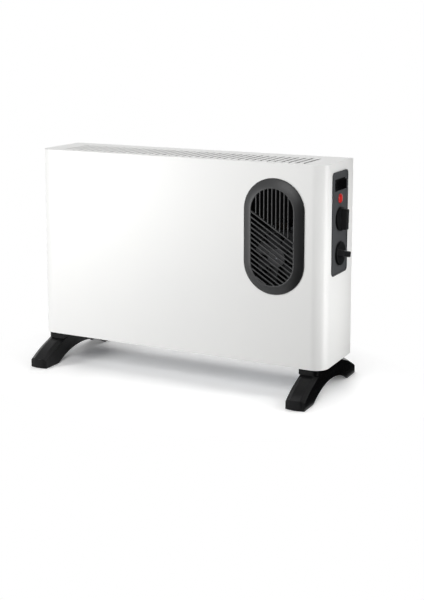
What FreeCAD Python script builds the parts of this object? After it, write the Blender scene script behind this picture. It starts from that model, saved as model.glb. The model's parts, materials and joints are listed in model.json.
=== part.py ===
import FreeCAD, Part
import math
import operator
import os
import Sketcher
from FreeCAD import Placement, Rotation, Vector

# Convector heater with a turbo fan. Millimetres, +Z up, front towards -Y, controls on the +X side.
# The origin lies on the floor, below the middle of the whole object.

SIZES = {
    # Steel casing
    "casing_width": 540.0,
    "casing_depth": 122.0,
    "casing_height": 330.0,
    "corner_round": 23.0,
    "sheet": 0.8,
    "sheet_gap": 0.2,
    "rear_lip": 12.0,
    "tray_flange": 12.0,
    # Warm-air slots in the top
    "top_slot_margin": 38.0,
    "top_slot_pitch": 12.9,
    "top_slot_width": 5.0,
    "top_slot_front": 15.0,
    "top_slot_length": 75.0,
    # Cold-air slots in the base and the back
    "intake_margin": 22.0,
    "intake_pitch": 21.0,
    "intake_width": 9.0,
    "intake_length": 76.0,
    "vent_margin": 70.0,
    "vent_pitch": 18.0,
    "vent_width": 6.0,
    "vent_length": 90.0,
    "vent_low": 70.0,
    # Feet
    "foot_height": 50.0,
    "foot_inset": 10.0,
    "foot_width": 35.5,
    "foot_reach": 54.5,
    "foot_lip": 9.0,
    "foot_collar_inset": 0.6,
    "foot_collar_round": 10.0,
    "foot_wall": 3.0,
    "limb_bulge": 2.5,
    "limb_chamfer": 4.2,
    "toe_height": 15.0,
    "toe_length": 40.0,
    "toe_bow": 4.0,
    "arch_rise": 25.0,
    "foot_screw_spread": 76.0,
    # Fan grille
    "grille_width": 105.5,
    "grille_height": 189.0,
    "grille_side_gap": 34.6,
    "grille_top_gap": 24.0,
    "grille_rim": 1.6,
    "grille_rise": 8.6,
    "grille_bevel": 14.0,
    "grille_plate": 2.4,
    "grille_lap": 6.0,
    "grille_slot_pitch": 7.0,
    "grille_slot_width": 4.3,
    "grille_slot_border": 2.0,
    "divider_angle": 32.0,
    "divider_width": 4.6,
    "divider_lift": 17.0,
    "hook_length": 9.0,
    "hook_barb": 1.2,
    # Fan
    "fan_radius": 40.0,
    "fan_tip_gap": 1.5,
    "fan_lift": 58.0,
    "fan_set_back": 8.0,
    "fan_frame_wall": 2.0,
    "fan_frame_depth": 22.0,
    "boss_radius": 3.6,
    "boss_corner": 6.0,
    "lug_width": 12.0,
    "lug_drop": 4.0,
    "arm_width": 8.0,
    "spider_thickness": 3.0,
    "hub_radius": 15.0,
    "hub_depth": 15.0,
    "blade_count": 7.0,
    "blade_thickness": 1.6,
    "blade_root_chord": 15.0,
    "blade_tip_chord": 23.0,
    "blade_root_sink": 4.5,
    "blade_pitch": 34.0,
    # Shaded-pole motor
    "shaft_radius": 2.0,
    "shaft_fit": 0.05,
    "strap_width": 12.0,
    "strap_thickness": 3.0,
    "post_length": 8.0,
    "post_radius": 3.4,
    "post_spread": 36.0,
    "stack_width": 44.0,
    "stack_thickness": 16.0,
    "stack_foot": 20.0,
    "stack_leg": 15.0,
    "stack_side": 9.0,
    "stack_bridge": 3.8,
    "stack_window": 15.0,
    "rotor_radius": 12.6,
    "rotor_gap": 0.5,
    "coil_build": 7.0,
    "coil_gap": 0.3,
    # Heating elements
    "heater_left_gap": 40.0,
    "heater_right_gap": 172.0,
    "heater_side_room": 14.0,
    "bracket_height": 118.0,
    "bracket_flange": 16.0,
    "bracket_sheet": 1.0,
    "board_low": 26.0,
    "board_height": 80.0,
    "board_thickness": 1.0,
    "board_spread": 40.0,
    "board_tab_height": 40.0,
    "board_tab_out": 4.0,
    "board_play": 0.15,
    "ribbon_width": 2.4,
    "ribbon_thickness": 0.4,
    "ribbon_pitch": 31.0,
    "ribbon_border": 6.0,
    # Thermal cut-out
    "cutout_width": 18.0,
    "cutout_height": 14.0,
    "cutout_depth": 8.0,
    # Control panel
    "panel_width": 66.0,
    "panel_height": 167.0,
    "panel_top_gap": 14.5,
    "panel_round": 7.0,
    "panel_rim": 2.2,
    "panel_rim_width": 2.4,
    "panel_dish": 1.4,
    "panel_wall": 2.4,
    "panel_lap": 3.0,
    "panel_skirt": 8.0,
    "clip_width": 10.0,
    "clip_thickness": 2.0,
    "clip_barb": 1.4,
    "rocker_drop": 21.5,
    "lamp_drop": 44.0,
    "selector_drop": 77.5,
    "thermostat_drop": 133.5,
    # Rocker switch
    "rocker_length": 45.0,
    "rocker_width": 19.0,
    "rocker_frame": 1.2,
    "rocker_play": 0.4,
    "rocker_pivot_depth": 5.0,
    "rocker_crest": 2.0,
    "rocker_depth": 4.0,
    "rocker_tilt": 6.0,
    "rocker_pin_radius": 1.4,
    "rocker_body_depth": 24.0,
    "rocker_terminal_step": 13.0,
    # Pilot lamp
    "lens_radius": 8.0,
    "lens_height": 3.2,
    "lens_bevel": 2.2,
    "lens_stem": 11.0,
    "lens_length": 11.0,
    "lens_gap": 0.1,
    "lamp_length": 24.0,
    "lamp_wall": 1.2,
    "lamp_terminal": 4.2,
    # Knobs and the switches that they turn
    "knob_radius": 19.2,
    "knob_disc": 3.6,
    "knob_gap": 0.5,
    "grip_length": 34.0,
    "grip_width": 10.8,
    "grip_reach": 14.4,
    "grip_draft": 3.0,
    "grip_chamfer": 1.1,
    "selector_rest": 5.0,
    "thermostat_rest": 103.0,
    "stem_radius": 3.0,
    "stem_hole_gap": 1.2,
    "stem_depth": 9.0,
    "stem_gap": 0.5,
    "switch_side": 36.0,
    "switch_depth": 22.0,
    "thermostat_side": 34.0,
    "thermostat_depth": 16.0,
    "blade_terminal": 6.3,
    "blade_terminal_out": 8.0,
    # Supply lead entry
    "bush_side_gap": 60.0,
    "bush_up": 40.0,
    "bush_radius": 8.0,
    "bush_bore": 3.8,
    "bush_flange": 3.0,
    "bush_in": 8.0,
    "terminal_width": 18.0,
    "terminal_length": 36.0,
    "terminal_height": 14.0,
    "terminal_gap": 22.0,
    "terminal_wire": 3.2,
    # Fasteners
    "screw_radius": 1.6,
    "screw_head_radius": 3.2,
    "screw_head_height": 2.2,
    "screw_length": 7.0,
    "screw_end_gap": 0.6,
    "screw_gap": 0.1,
    "lip_screw_margin": 70.0,
    "foot_screw_radius": 2.0,
    "foot_screw_grip": 3.0,
}

doc = FreeCAD.newDocument("ConvectorHeater")
sheet = doc.addObject("Spreadsheet::Sheet", "Sizes")
for row, (alias, number) in enumerate(SIZES.items(), start=1):
    sheet.set(f"A{row}", alias)
    sheet.set(f"B{row}", str(number))
    sheet.setAlias(f"B{row}", alias)
doc.recompute()

SIGNS = {"+": operator.add, "-": operator.sub, "*": operator.mul, "/": operator.truediv}


class Size:
    """A length or angle that carries its number and the sheet formula behind it."""

    def __init__(self, number, formula):
        self.number = number
        self.formula = formula

    def __float__(self):
        return self.number

    def __add__(self, other):
        return joined(self, "+", other)

    def __radd__(self, other):
        return joined(other, "+", self)

    def __sub__(self, other):
        return joined(self, "-", other)

    def __rsub__(self, other):
        return joined(other, "-", self)

    def __mul__(self, other):
        return joined(self, "*", other)

    def __rmul__(self, other):
        return joined(other, "*", self)

    def __truediv__(self, other):
        return joined(self, "/", other)

    def __neg__(self):
        return joined(0, "-", self)


def size(value):
    return value if isinstance(value, Size) else Size(float(value), repr(float(value)))


def joined(first, sign, second):
    first, second = size(first), size(second)
    number = SIGNS[sign](first.number, second.number)
    return Size(number, f"({first.formula} {sign} {second.formula})")


def sine(angle):
    return Size(math.sin(math.radians(angle.number)), f"sin({angle.formula})")


def cosine(angle):
    return Size(math.cos(math.radians(angle.number)), f"cos({angle.formula})")


def root(value):
    return Size(math.sqrt(value.number), f"sqrt({value.formula})")


def whole(value):
    return Size(float(math.floor(value.number)), f"floor({value.formula})")


class Sheet:
    """Gives each cell of the sheet as a Size under its alias."""

    def __getattr__(self, alias):
        return Size(float(sheet.get(alias)), f"Sizes.{alias}")


S = Sheet()


# Placing and drawing

def bind(thing, path, value):
    thing.setExpression(path, size(value).formula)


def place(thing, x, y, z, turn=None):
    thing.Placement = Placement(Vector(float(x), float(y), float(z)), turn or Rotation())
    for axis, value in zip("xyz", (x, y, z)):
        bind(thing, f"Placement.Base.{axis}", value)


def pin_point(drawing, constraints, formulas, element, spot, x, y):
    for kind, value in (("DistanceX", x), ("DistanceY", y)):
        formulas[len(constraints)] = value
        constraints.append(Sketcher.Constraint(kind, -1, 1, element, spot, float(value)))


def commit(drawing, constraints, formulas):
    first = drawing.ConstraintCount
    drawing.addConstraint(constraints)
    for index, value in formulas.items():
        bind(drawing, f"Constraints[{first + index}]", value)


def arc_between(start, end, centre):
    """A circular edge about centre, with the ends that its start and end points have in the sketch."""
    radius = (start - centre).Length
    angle = [math.atan2((p - centre).y, (p - centre).x) for p in (start, end)]
    sweep = (angle[1] - angle[0]) % (2 * math.pi)
    forward = sweep < math.pi
    low, high = (angle[0], angle[0] + sweep) if forward else (angle[1], angle[1] + 2 * math.pi - sweep)
    edge = Part.ArcOfCircle(Part.Circle(centre, Vector(0, 0, 1), radius), low, high)
    return edge, (1, 2) if forward else (2, 1)


def outline(drawing, corners, bulges=None):
    """Closes an outline through corners (x, y) or (x, y, radius); an edge in bulges is an arc that
    stands out by that height on the right of its direction, or on the left where it is negative."""
    bulges = bulges or {}
    count = len(corners)
    points = [Vector(float(c[0]), float(c[1]), 0) for c in corners]
    leaving, entering, rounding = list(points), list(points), {}
    for i, corner in enumerate(corners):
        if len(corner) < 3:
            continue
        back = (points[i - 1] - points[i]).normalize()
        onward = (points[(i + 1) % count] - points[i]).normalize()
        half = back.getAngle(onward) / 2
        radius = float(corner[2])
        entering[i] = points[i] + back * (radius / math.tan(half))
        leaving[i] = points[i] + onward * (radius / math.tan(half))
        rounding[i] = points[i] + (back + onward).normalize() * (radius / math.sin(half))
    edges = []
    constraints, formulas = [], {}
    for i in range(count):
        start, end = leaving[i], entering[(i + 1) % count]
        if i in bulges:
            a, b, rise = corners[i], corners[(i + 1) % count], size(bulges[i])
            along, across = size(b[0]) - a[0], size(b[1]) - a[1]
            chord = along * along + across * across
            radius = (chord / 4 + rise * rise) / (2 * rise)
            right = Vector(float(across), -float(along), 0).normalize()
            middle = (start + end) / 2
            geometry, ends = arc_between(start, end, middle + right * (float(rise) - float(radius)))
            element = drawing.addGeometry(geometry, False)
            positive = radius if float(rise) > 0 else -radius
            formulas[len(constraints)] = positive
            constraints.append(Sketcher.Constraint("Radius", element, float(positive)))
        else:
            element = drawing.addGeometry(Part.LineSegment(start, end), False)
            ends = (1, 2)
        edges.append((element, ends))
    for i, corner in enumerate(corners):
        before, after = edges[i - 1], edges[i]
        if i not in rounding:
            constraints.append(
                Sketcher.Constraint("Coincident", before[0], before[1][1], after[0], after[1][0]))
            pin_point(drawing, constraints, formulas, after[0], after[1][0], corner[0], corner[1])
            continue
        geometry, ends = arc_between(entering[i], leaving[i], rounding[i])
        arc = drawing.addGeometry(geometry, False)
        tip = drawing.addGeometry(Part.Point(points[i]), True)
        constraints.append(Sketcher.Constraint("Tangent", before[0], before[1][1], arc, ends[0]))
        constraints.append(Sketcher.Constraint("Tangent", arc, ends[1], after[0], after[1][0]))
        formulas[len(constraints)] = corner[2]
        constraints.append(Sketcher.Constraint("Radius", arc, float(corner[2])))
        constraints.append(Sketcher.Constraint("PointOnObject", tip, 1, before[0]))
        constraints.append(Sketcher.Constraint("PointOnObject", tip, 1, after[0]))
        pin_point(drawing, constraints, formulas, tip, 1, corner[0], corner[1])
    commit(drawing, constraints, formulas)


def rectangle(drawing, low_x, low_y, high_x, high_y, radius=None):
    corners = [(low_x, low_y), (high_x, low_y), (high_x, high_y), (low_x, high_y)]
    outline(drawing, [corner + (radius,) for corner in corners] if radius else corners)


def circle(drawing, x, y, radius):
    spot = Vector(float(x), float(y), 0)
    element = drawing.addGeometry(Part.Circle(spot, Vector(0, 0, 1), float(radius)), False)
    constraints, formulas = [], {}
    pin_point(drawing, constraints, formulas, element, 3, x, y)
    formulas[len(constraints)] = radius
    constraints.append(Sketcher.Constraint("Radius", element, float(radius)))
    commit(drawing, constraints, formulas)


def polygon(drawing, x, y, radius, sides):
    """A regular outline inside a circle: flat sides keep a small piece light where a round one is costly."""
    angles = [2 * math.pi * i / sides for i in range(sides)]
    outline(drawing, [(x + radius * round(math.cos(angle), 9), y + radius * round(math.sin(angle), 9))
                      for angle in angles])


def hexagon(drawing, x, y, radius):
    """A small screw hole or post."""
    polygon(drawing, x, y, radius, 6)


def stadium(drawing, x, y, half_width, half_height):
    """An upright oval: two half circles joined by straight sides."""
    rise = half_height - half_width
    wide = Vector(float(half_width), 0, 0)
    caps = [Vector(float(x), float(y + rise), 0), Vector(float(x), float(y - rise), 0)]
    top = Part.ArcOfCircle(Part.Circle(caps[0], Vector(0, 0, 1), float(half_width)), 0, math.pi)
    low = Part.ArcOfCircle(Part.Circle(caps[1], Vector(0, 0, 1), float(half_width)), math.pi, 2 * math.pi)
    first = drawing.addGeometry(
        [top, Part.LineSegment(caps[0] - wide, caps[1] - wide), low,
         Part.LineSegment(caps[1] + wide, caps[0] + wide)], False)[0]
    constraints, formulas = [], {}
    for element, following in ((0, 1), (1, 2), (2, 3), (3, 0)):
        constraints.append(Sketcher.Constraint("Tangent", first + element, 2, first + following, 1))
    pin_point(drawing, constraints, formulas, first, 3, x, y + rise)
    pin_point(drawing, constraints, formulas, first + 2, 3, x, y - rise)
    formulas[len(constraints)] = half_width
    constraints.append(Sketcher.Constraint("Radius", first, float(half_width)))
    constraints.append(Sketcher.Constraint("Equal", first, first + 2))
    commit(drawing, constraints, formulas)


class Piece:
    """A PartDesign body with its features added one after the other."""

    def __init__(self, label, x, y, z, turn=None):
        self.body = doc.addObject("PartDesign::Body", label)
        self.body.Label = label
        place(self.body, x, y, z, turn)

    def origin(self, role):
        return next(item for item in self.body.Origin.OriginFeatures if item.Role == role)

    def sketch(self, role, lift=0):
        drawing = self.body.newObject("Sketcher::SketchObject", f"{self.body.Label}_sketch")
        drawing.AttachmentSupport = [(self.origin(role), "")]
        drawing.MapMode = "FlatFace"
        bind(drawing, "AttachmentOffset.Base.z", lift)
        return drawing

    def feature(self, kind, **settings):
        step = self.body.newObject(f"PartDesign::{kind}", f"{self.body.Label}_{kind.lower()}")
        for name, value in settings.items():
            setattr(step, name, value)
        return step

    def pad(self, drawing, length, reverse=False, both=False):
        step = self.feature("Pad", Profile=drawing, Reversed=reverse, Midplane=both)
        bind(step, "Length", length)
        return step

    def pocket(self, drawing, length, reverse=False, both=False):
        doc.recompute()
        before = self.body.Shape.Volume
        step = self.feature("Pocket", Profile=drawing, Reversed=reverse, Midplane=both)
        bind(step, "Length", length)
        doc.recompute()
        if not self.body.Shape.Volume < before:
            raise RuntimeError(f"a pocket of {self.body.Label} cuts nothing")
        return step

    def loft(self, sections, subtract=False):
        kind = "SubtractiveLoft" if subtract else "AdditiveLoft"
        return self.feature(kind, Profile=sections[0], Sections=sections[1:], Ruled=True)

    def row(self, step, axis, length, count):
        pattern = self.feature("LinearPattern", Originals=[step], Direction=(self.origin(axis), [""]))
        bind(pattern, "Length", length)
        bind(pattern, "Occurrences", count)
        self.body.Tip = pattern
        return pattern

    def ring(self, step, axis, count):
        pattern = self.feature("PolarPattern", Originals=[step], Axis=(self.origin(axis), [""]), Angle=360.0)
        bind(pattern, "Occurrences", count)
        self.body.Tip = pattern
        return pattern

    def mirror(self, steps, role):
        pattern = self.feature("Mirrored", Originals=steps, MirrorPlane=(self.origin(role), [""]))
        self.body.Tip = pattern
        return pattern

    def chamfer(self, width, chosen):
        """Bevels the edges of the last feature whose bounding box chosen(bounds) picks."""
        doc.recompute()
        base = self.body.Tip
        edges = enumerate(base.Shape.Edges, start=1)
        names = [f"Edge{i}" for i, edge in edges if chosen(edge.BoundBox)]
        if not names:
            raise RuntimeError(f"{self.body.Label} has no edge to bevel")
        step = self.feature("Chamfer", Base=(base, names))
        bind(step, "Size", width)
        return step


nodes = []


def keep(label, thing):
    """Lists an object as a sub-part under its own label."""
    thing.Label = label
    nodes.append(thing)
    return thing


def box(x, y, z, length, width, height, turn=None):
    solid = doc.addObject("Part::Box", "box")
    for name, value in (("Length", length), ("Width", width), ("Height", height)):
        bind(solid, name, value)
    place(solid, x, y, z, turn)
    return solid


def cylinder(x, y, z, radius, height, turn=None):
    solid = doc.addObject("Part::Cylinder", "cylinder")
    bind(solid, "Radius", radius)
    bind(solid, "Height", height)
    place(solid, x, y, z, turn)
    return solid


def hexagonal_bar(x, y, z, radius, height, turn):
    solid = doc.addObject("Part::Prism", "bar")
    solid.Polygon = 6
    bind(solid, "Circumradius", radius)
    bind(solid, "Height", height)
    place(solid, x, y, z, turn)
    return solid


def fused(parts):
    whole_part = doc.addObject("Part::MultiFuse", "fused")
    whole_part.Shapes = parts
    return whole_part


def shared(first, second):
    overlap = doc.addObject("Part::Common", "shared")
    overlap.Base, overlap.Tool = first, second
    return overlap


def group(parts):
    together = doc.addObject("Part::Compound", "group")
    together.Links = parts
    return together


def cut(base, tool):
    rest = doc.addObject("Part::Cut", "cut")
    rest.Base, rest.Tool = base, tool
    return rest


def screw(seat, direction, radius, length):
    """A hexagon-headed screw whose head sits on seat and whose shank runs along direction."""
    ahead = Vector(*direction)
    turn, turn_back = Rotation(Vector(0, 0, 1), ahead), Rotation(Vector(0, 0, 1), ahead * -1)
    head_radius = S.screw_head_radius * radius / S.screw_radius
    shank = hexagonal_bar(*seat, radius, length, turn)
    head = hexagonal_bar(*seat, head_radius, S.screw_head_height, turn_back)
    return fused([shank, head])


# Places that several pieces share

BACKWARDS = Rotation(Vector(1, 0, 0), -90)
FINE = 0.01
# Sides of the many-sided outlines that stand for round ones
DISC_SIDES = 32
SHAFT_SIDES = 16

knob_stand = S.panel_rim - S.panel_dish + S.grip_reach
middle = -knob_stand / 2
right_side = middle + S.casing_width / 2
left_side = middle - S.casing_width / 2
front = -S.casing_depth / 2
back = S.casing_depth / 2
bottom = S.foot_height
top = S.foot_height + S.casing_height
half_width = S.casing_width / 2
half_depth = S.casing_depth / 2
screw_hole = S.screw_radius + S.screw_gap

grille_half_width = S.grille_width / 2
grille_half_height = S.grille_height / 2
grille_x = right_side - S.grille_side_gap - grille_half_width
grille_z = top - S.grille_top_gap - grille_half_height
fan_z = grille_z - grille_half_height + S.fan_lift

panel_z = top - S.panel_top_gap - S.panel_height / 2
panel_top = top - S.panel_top_gap
panel_face = right_side + S.panel_rim - S.panel_dish
panel_rear = panel_face - S.panel_wall
rocker_z = panel_top - S.rocker_drop
lamp_z = panel_top - S.lamp_drop
selector_z = panel_top - S.selector_drop
thermostat_z = panel_top - S.thermostat_drop

heater_left = left_side + S.heater_left_gap
heater_right = right_side - S.heater_right_gap
heater_floor = bottom + S.sheet

bush_x = right_side - S.bush_side_gap
bush_z = bottom + S.bush_up

lip_screw_x = half_width - S.rear_lip / 2
lip_screw_heights = [S.lip_screw_margin, S.casing_height - S.lip_screw_margin]
flange_screw_x = [-S.casing_width / 4, S.casing_width / 4]
flange_screw_heights = [S.tray_flange / 2, S.casing_height - S.tray_flange / 2]
foot_x = [right_side - S.foot_inset - S.foot_width / 2, left_side + S.foot_inset + S.foot_width / 2]
foot_screw_hole = S.foot_screw_radius + S.screw_gap


# Casing: one sheet bent round the front and both sides, with lips for the back panel

def make_front_casing():
    casing = Piece("front_casing", middle, 0, bottom)
    plan = casing.sketch("XY_Plane")
    inner_x, lip_x = half_width - S.sheet, half_width - S.rear_lip
    rear, lip_y = half_depth - S.sheet, half_depth - 2 * S.sheet
    outer_round, inner_round = S.corner_round, S.corner_round - S.sheet
    outline(plan, [
        (half_width, rear), (half_width, -half_depth, outer_round),
        (-half_width, -half_depth, outer_round), (-half_width, rear),
        (-lip_x, rear), (-lip_x, lip_y), (-inner_x, lip_y),
        (-inner_x, S.sheet - half_depth, inner_round), (inner_x, S.sheet - half_depth, inner_round),
        (inner_x, lip_y), (lip_x, lip_y), (lip_x, rear)])
    casing.pad(plan, S.casing_height)
    oval = casing.sketch("XZ_Plane")
    stadium(oval, grille_x - middle, grille_z - bottom,
            grille_half_width - S.grille_lap, grille_half_height - S.grille_lap)
    casing.pocket(oval, half_depth + S.sheet, reverse=True)
    window = casing.sketch("YZ_Plane")
    lap = S.panel_lap - S.sheet_gap
    rectangle(window, lap - S.panel_width / 2, panel_z - bottom - S.panel_height / 2 + lap,
              S.panel_width / 2 - lap, panel_z - bottom + S.panel_height / 2 - lap)
    casing.pocket(window, half_width + S.sheet, reverse=True)
    holes = casing.sketch("XZ_Plane")
    for height in lip_screw_heights:
        hexagon(holes, lip_screw_x, height, screw_hole)
        hexagon(holes, -lip_screw_x, height, screw_hole)
    casing.pocket(holes, half_depth)
    keep("front_casing", casing.body)


# Top and base: shallow trays that close the wrap, with their flanges inside it

def tray_outline(drawing, inset):
    side = half_width - S.sheet - S.sheet_gap - inset
    front_edge = S.sheet + S.sheet_gap + inset - half_depth
    corner = S.corner_round - S.sheet - S.sheet_gap - inset
    notch_x = half_width - S.rear_lip - S.sheet_gap - inset
    notch_y = half_depth - 2 * S.sheet - S.sheet_gap - inset
    rear = half_depth - S.sheet - inset
    outline(drawing, [
        (side, front_edge, corner), (side, notch_y), (notch_x, notch_y), (notch_x, rear),
        (-notch_x, rear), (-notch_x, notch_y), (-side, notch_y), (-side, front_edge, corner)])


def make_tray(label, level, upward):
    """A sheet at level with a flange along its whole edge, turned up or down."""
    tray = Piece(label, middle, 0, level)
    rim = tray.sketch("XY_Plane")
    tray_outline(rim, size(0))
    tray.pad(rim, S.tray_flange, reverse=not upward)
    inside = tray.sketch("XY_Plane", S.tray_flange if upward else -S.tray_flange)
    tray_outline(inside, S.sheet)
    tray.pocket(inside, S.tray_flange - S.sheet, reverse=not upward)
    holes = tray.sketch("XZ_Plane")
    for x in flange_screw_x:
        hexagon(holes, x, S.tray_flange / 2 if upward else -S.tray_flange / 2, screw_hole)
    tray.pocket(holes, half_depth)
    return tray


def make_top_panel():
    panel = make_tray("top_panel", top, upward=False)
    count = whole((S.casing_width - 2 * S.top_slot_margin) / S.top_slot_pitch) + 1
    first = -(count - 1) * S.top_slot_pitch / 2
    slot = panel.sketch("XY_Plane")
    slot_y = S.top_slot_front - half_depth
    rectangle(slot, first - S.top_slot_width / 2, slot_y,
              first + S.top_slot_width / 2, slot_y + S.top_slot_length)
    opening = panel.pocket(slot, 2 * S.sheet)
    panel.row(opening, "X_Axis", (count - 1) * S.top_slot_pitch, count)
    keep("top_panel", panel.body)


def make_base_plate():
    plate = make_tray("base_plate", bottom, upward=True)
    room = heater_right - heater_left - 2 * (S.bracket_flange + S.intake_margin)
    count = whole(room / S.intake_pitch) + 1
    first = (heater_left + heater_right) / 2 - middle - (count - 1) * S.intake_pitch / 2
    slot = plate.sketch("XY_Plane", S.sheet)
    rectangle(slot, first - S.intake_width / 2, -S.intake_length / 2,
              first + S.intake_width / 2, S.intake_length / 2)
    opening = plate.pocket(slot, 2 * S.sheet)
    plate.row(opening, "X_Axis", (count - 1) * S.intake_pitch, count)
    holes = plate.sketch("XY_Plane", S.sheet)
    for x in foot_x:
        hexagon(holes, x - middle, -S.foot_screw_spread / 2, foot_screw_hole)
        hexagon(holes, x - middle, S.foot_screw_spread / 2, foot_screw_hole)
    plate.pocket(holes, 2 * S.sheet)
    keep("base_plate", plate.body)


# Back panel: a flat sheet over the lips of the wrap, with a row of intake slots

def make_back_panel():
    panel = Piece("back_panel", middle, back, bottom)
    face = panel.sketch("XZ_Plane")
    rectangle(face, -half_width, size(0), half_width, S.casing_height)
    panel.pad(face, S.sheet)
    count = whole((S.casing_width - 2 * S.vent_margin) / S.vent_pitch) + 1
    first = -(count - 1) * S.vent_pitch / 2
    slot = panel.sketch("XZ_Plane")
    rectangle(slot, first - S.vent_width / 2, S.vent_low,
              first + S.vent_width / 2, S.vent_low + S.vent_length)
    opening = panel.pocket(slot, 2 * S.sheet, reverse=True)
    panel.row(opening, "X_Axis", (count - 1) * S.vent_pitch, count)
    holes = panel.sketch("XZ_Plane")
    for height in lip_screw_heights:
        hexagon(holes, lip_screw_x, height, screw_hole)
        hexagon(holes, -lip_screw_x, height, screw_hole)
    for height in flange_screw_heights:
        for x in flange_screw_x:
            hexagon(holes, x, height, screw_hole)
    bush_half = S.bush_radius + S.sheet_gap
    rectangle(holes, bush_x - middle - bush_half, bush_z - bottom - bush_half,
              bush_x - middle + bush_half, bush_z - bottom + bush_half)
    panel.pocket(holes, 2 * S.sheet, reverse=True)
    keep("back_panel", panel.body)
    lips = [(middle + x, height) for x in (lip_screw_x, -lip_screw_x) for height in lip_screw_heights]
    flanges = [(middle + x, height) for x in flange_screw_x for height in flange_screw_heights]
    fixings = [screw((x, back, bottom + height), (0, -1, 0), S.screw_radius, S.screw_length)
               for x, height in lips + flanges]
    keep("back_screws", group(fixings))


# Feet: hollow arched mouldings, open below, with a collar under the casing

def make_foot(label, x, outward):
    foot = Piece(label, x, 0, size(0))
    half = S.foot_width / 2
    tip = half_depth + S.foot_reach
    overrun = S.toe_bow
    end_height = S.toe_height - overrun / 2
    heel = tip - S.toe_length
    deck = S.foot_height - S.foot_lip
    side = foot.sketch("YZ_Plane")
    outline(side, [
        (-half_depth, deck), (-tip - overrun, end_height), (-tip - overrun, size(0)),
        (-heel, size(0)), (heel, size(0)), (tip + overrun, size(0)),
        (tip + overrun, end_height), (half_depth, deck)],
        {0: S.limb_bulge, 3: -S.arch_rise, 6: S.limb_bulge})
    foot.pad(side, S.foot_width, both=True)
    nose = foot.sketch("XY_Plane")
    beyond = tip + 2 * overrun
    outline(nose, [(half + overrun, -beyond), (half + overrun, S.toe_bow - tip),
                   (-half - overrun, S.toe_bow - tip), (-half - overrun, -beyond)],
            {1: -S.toe_bow})
    trimmed = foot.pocket(nose, S.foot_height, reverse=True)
    foot.mirror([trimmed], "XZ_Plane")

    def limb_edge(bounds):
        slopes = bounds.YLength > FINE and bounds.ZLength > FINE
        return slopes and bounds.XLength < FINE and bounds.ZMax > float(deck) - FINE

    foot.chamfer(S.limb_chamfer, limb_edge)
    collar = foot.sketch("XY_Plane", deck)
    collar_y = half_depth - S.foot_collar_inset
    plain, rounded = (-half, half) if outward > 0 else (half, -half)
    outline(collar, [(plain, -collar_y), (rounded, -collar_y, S.foot_collar_round),
                     (rounded, collar_y), (plain, collar_y)])
    foot.pad(collar, S.foot_lip)
    hollow = foot.sketch("YZ_Plane")
    wall_y = half_depth - 2 * S.foot_wall
    toe_wall = tip - S.toe_bow - S.foot_wall
    under_deck = deck - S.foot_wall / 2
    outline(hollow, [
        (-wall_y, under_deck), (-toe_wall, S.toe_height - S.foot_wall), (-toe_wall, -S.foot_wall),
        (toe_wall, -S.foot_wall), (toe_wall, S.toe_height - S.foot_wall), (wall_y, under_deck)])
    foot.pocket(hollow, S.foot_width - 2 * S.foot_wall, both=True)
    holes = foot.sketch("XY_Plane", S.foot_height)
    for y in (-S.foot_screw_spread / 2, S.foot_screw_spread / 2):
        hexagon(holes, size(0), y, foot_screw_hole)
    foot.pocket(holes, S.foot_height)
    keep(label, foot.body)
    under_foot = bottom - S.foot_lip - S.foot_wall / 2
    length = S.foot_lip + S.foot_wall / 2 + S.sheet + S.foot_screw_grip
    return [screw((x, y, under_foot), (0, 0, 1), S.foot_screw_radius, length)
            for y in (-S.foot_screw_spread / 2, S.foot_screw_spread / 2)]


def make_feet():
    fixings = make_foot("right_foot", foot_x[0], 1) + make_foot("left_foot", foot_x[1], -1)
    keep("foot_screws", group(fixings))


# Fan grille: a raised oval with a bevelled rim, and two fields of slots that cross at a slant

def boss_places():
    """Where the fan frame is screwed to the grille: below its middle and in its two upper corners."""
    reach = S.fan_radius + S.fan_tip_gap + S.fan_frame_wall
    corner = reach - S.boss_corner
    return [(size(0), -reach - S.lug_drop), (corner, corner), (-corner, corner)]


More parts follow.
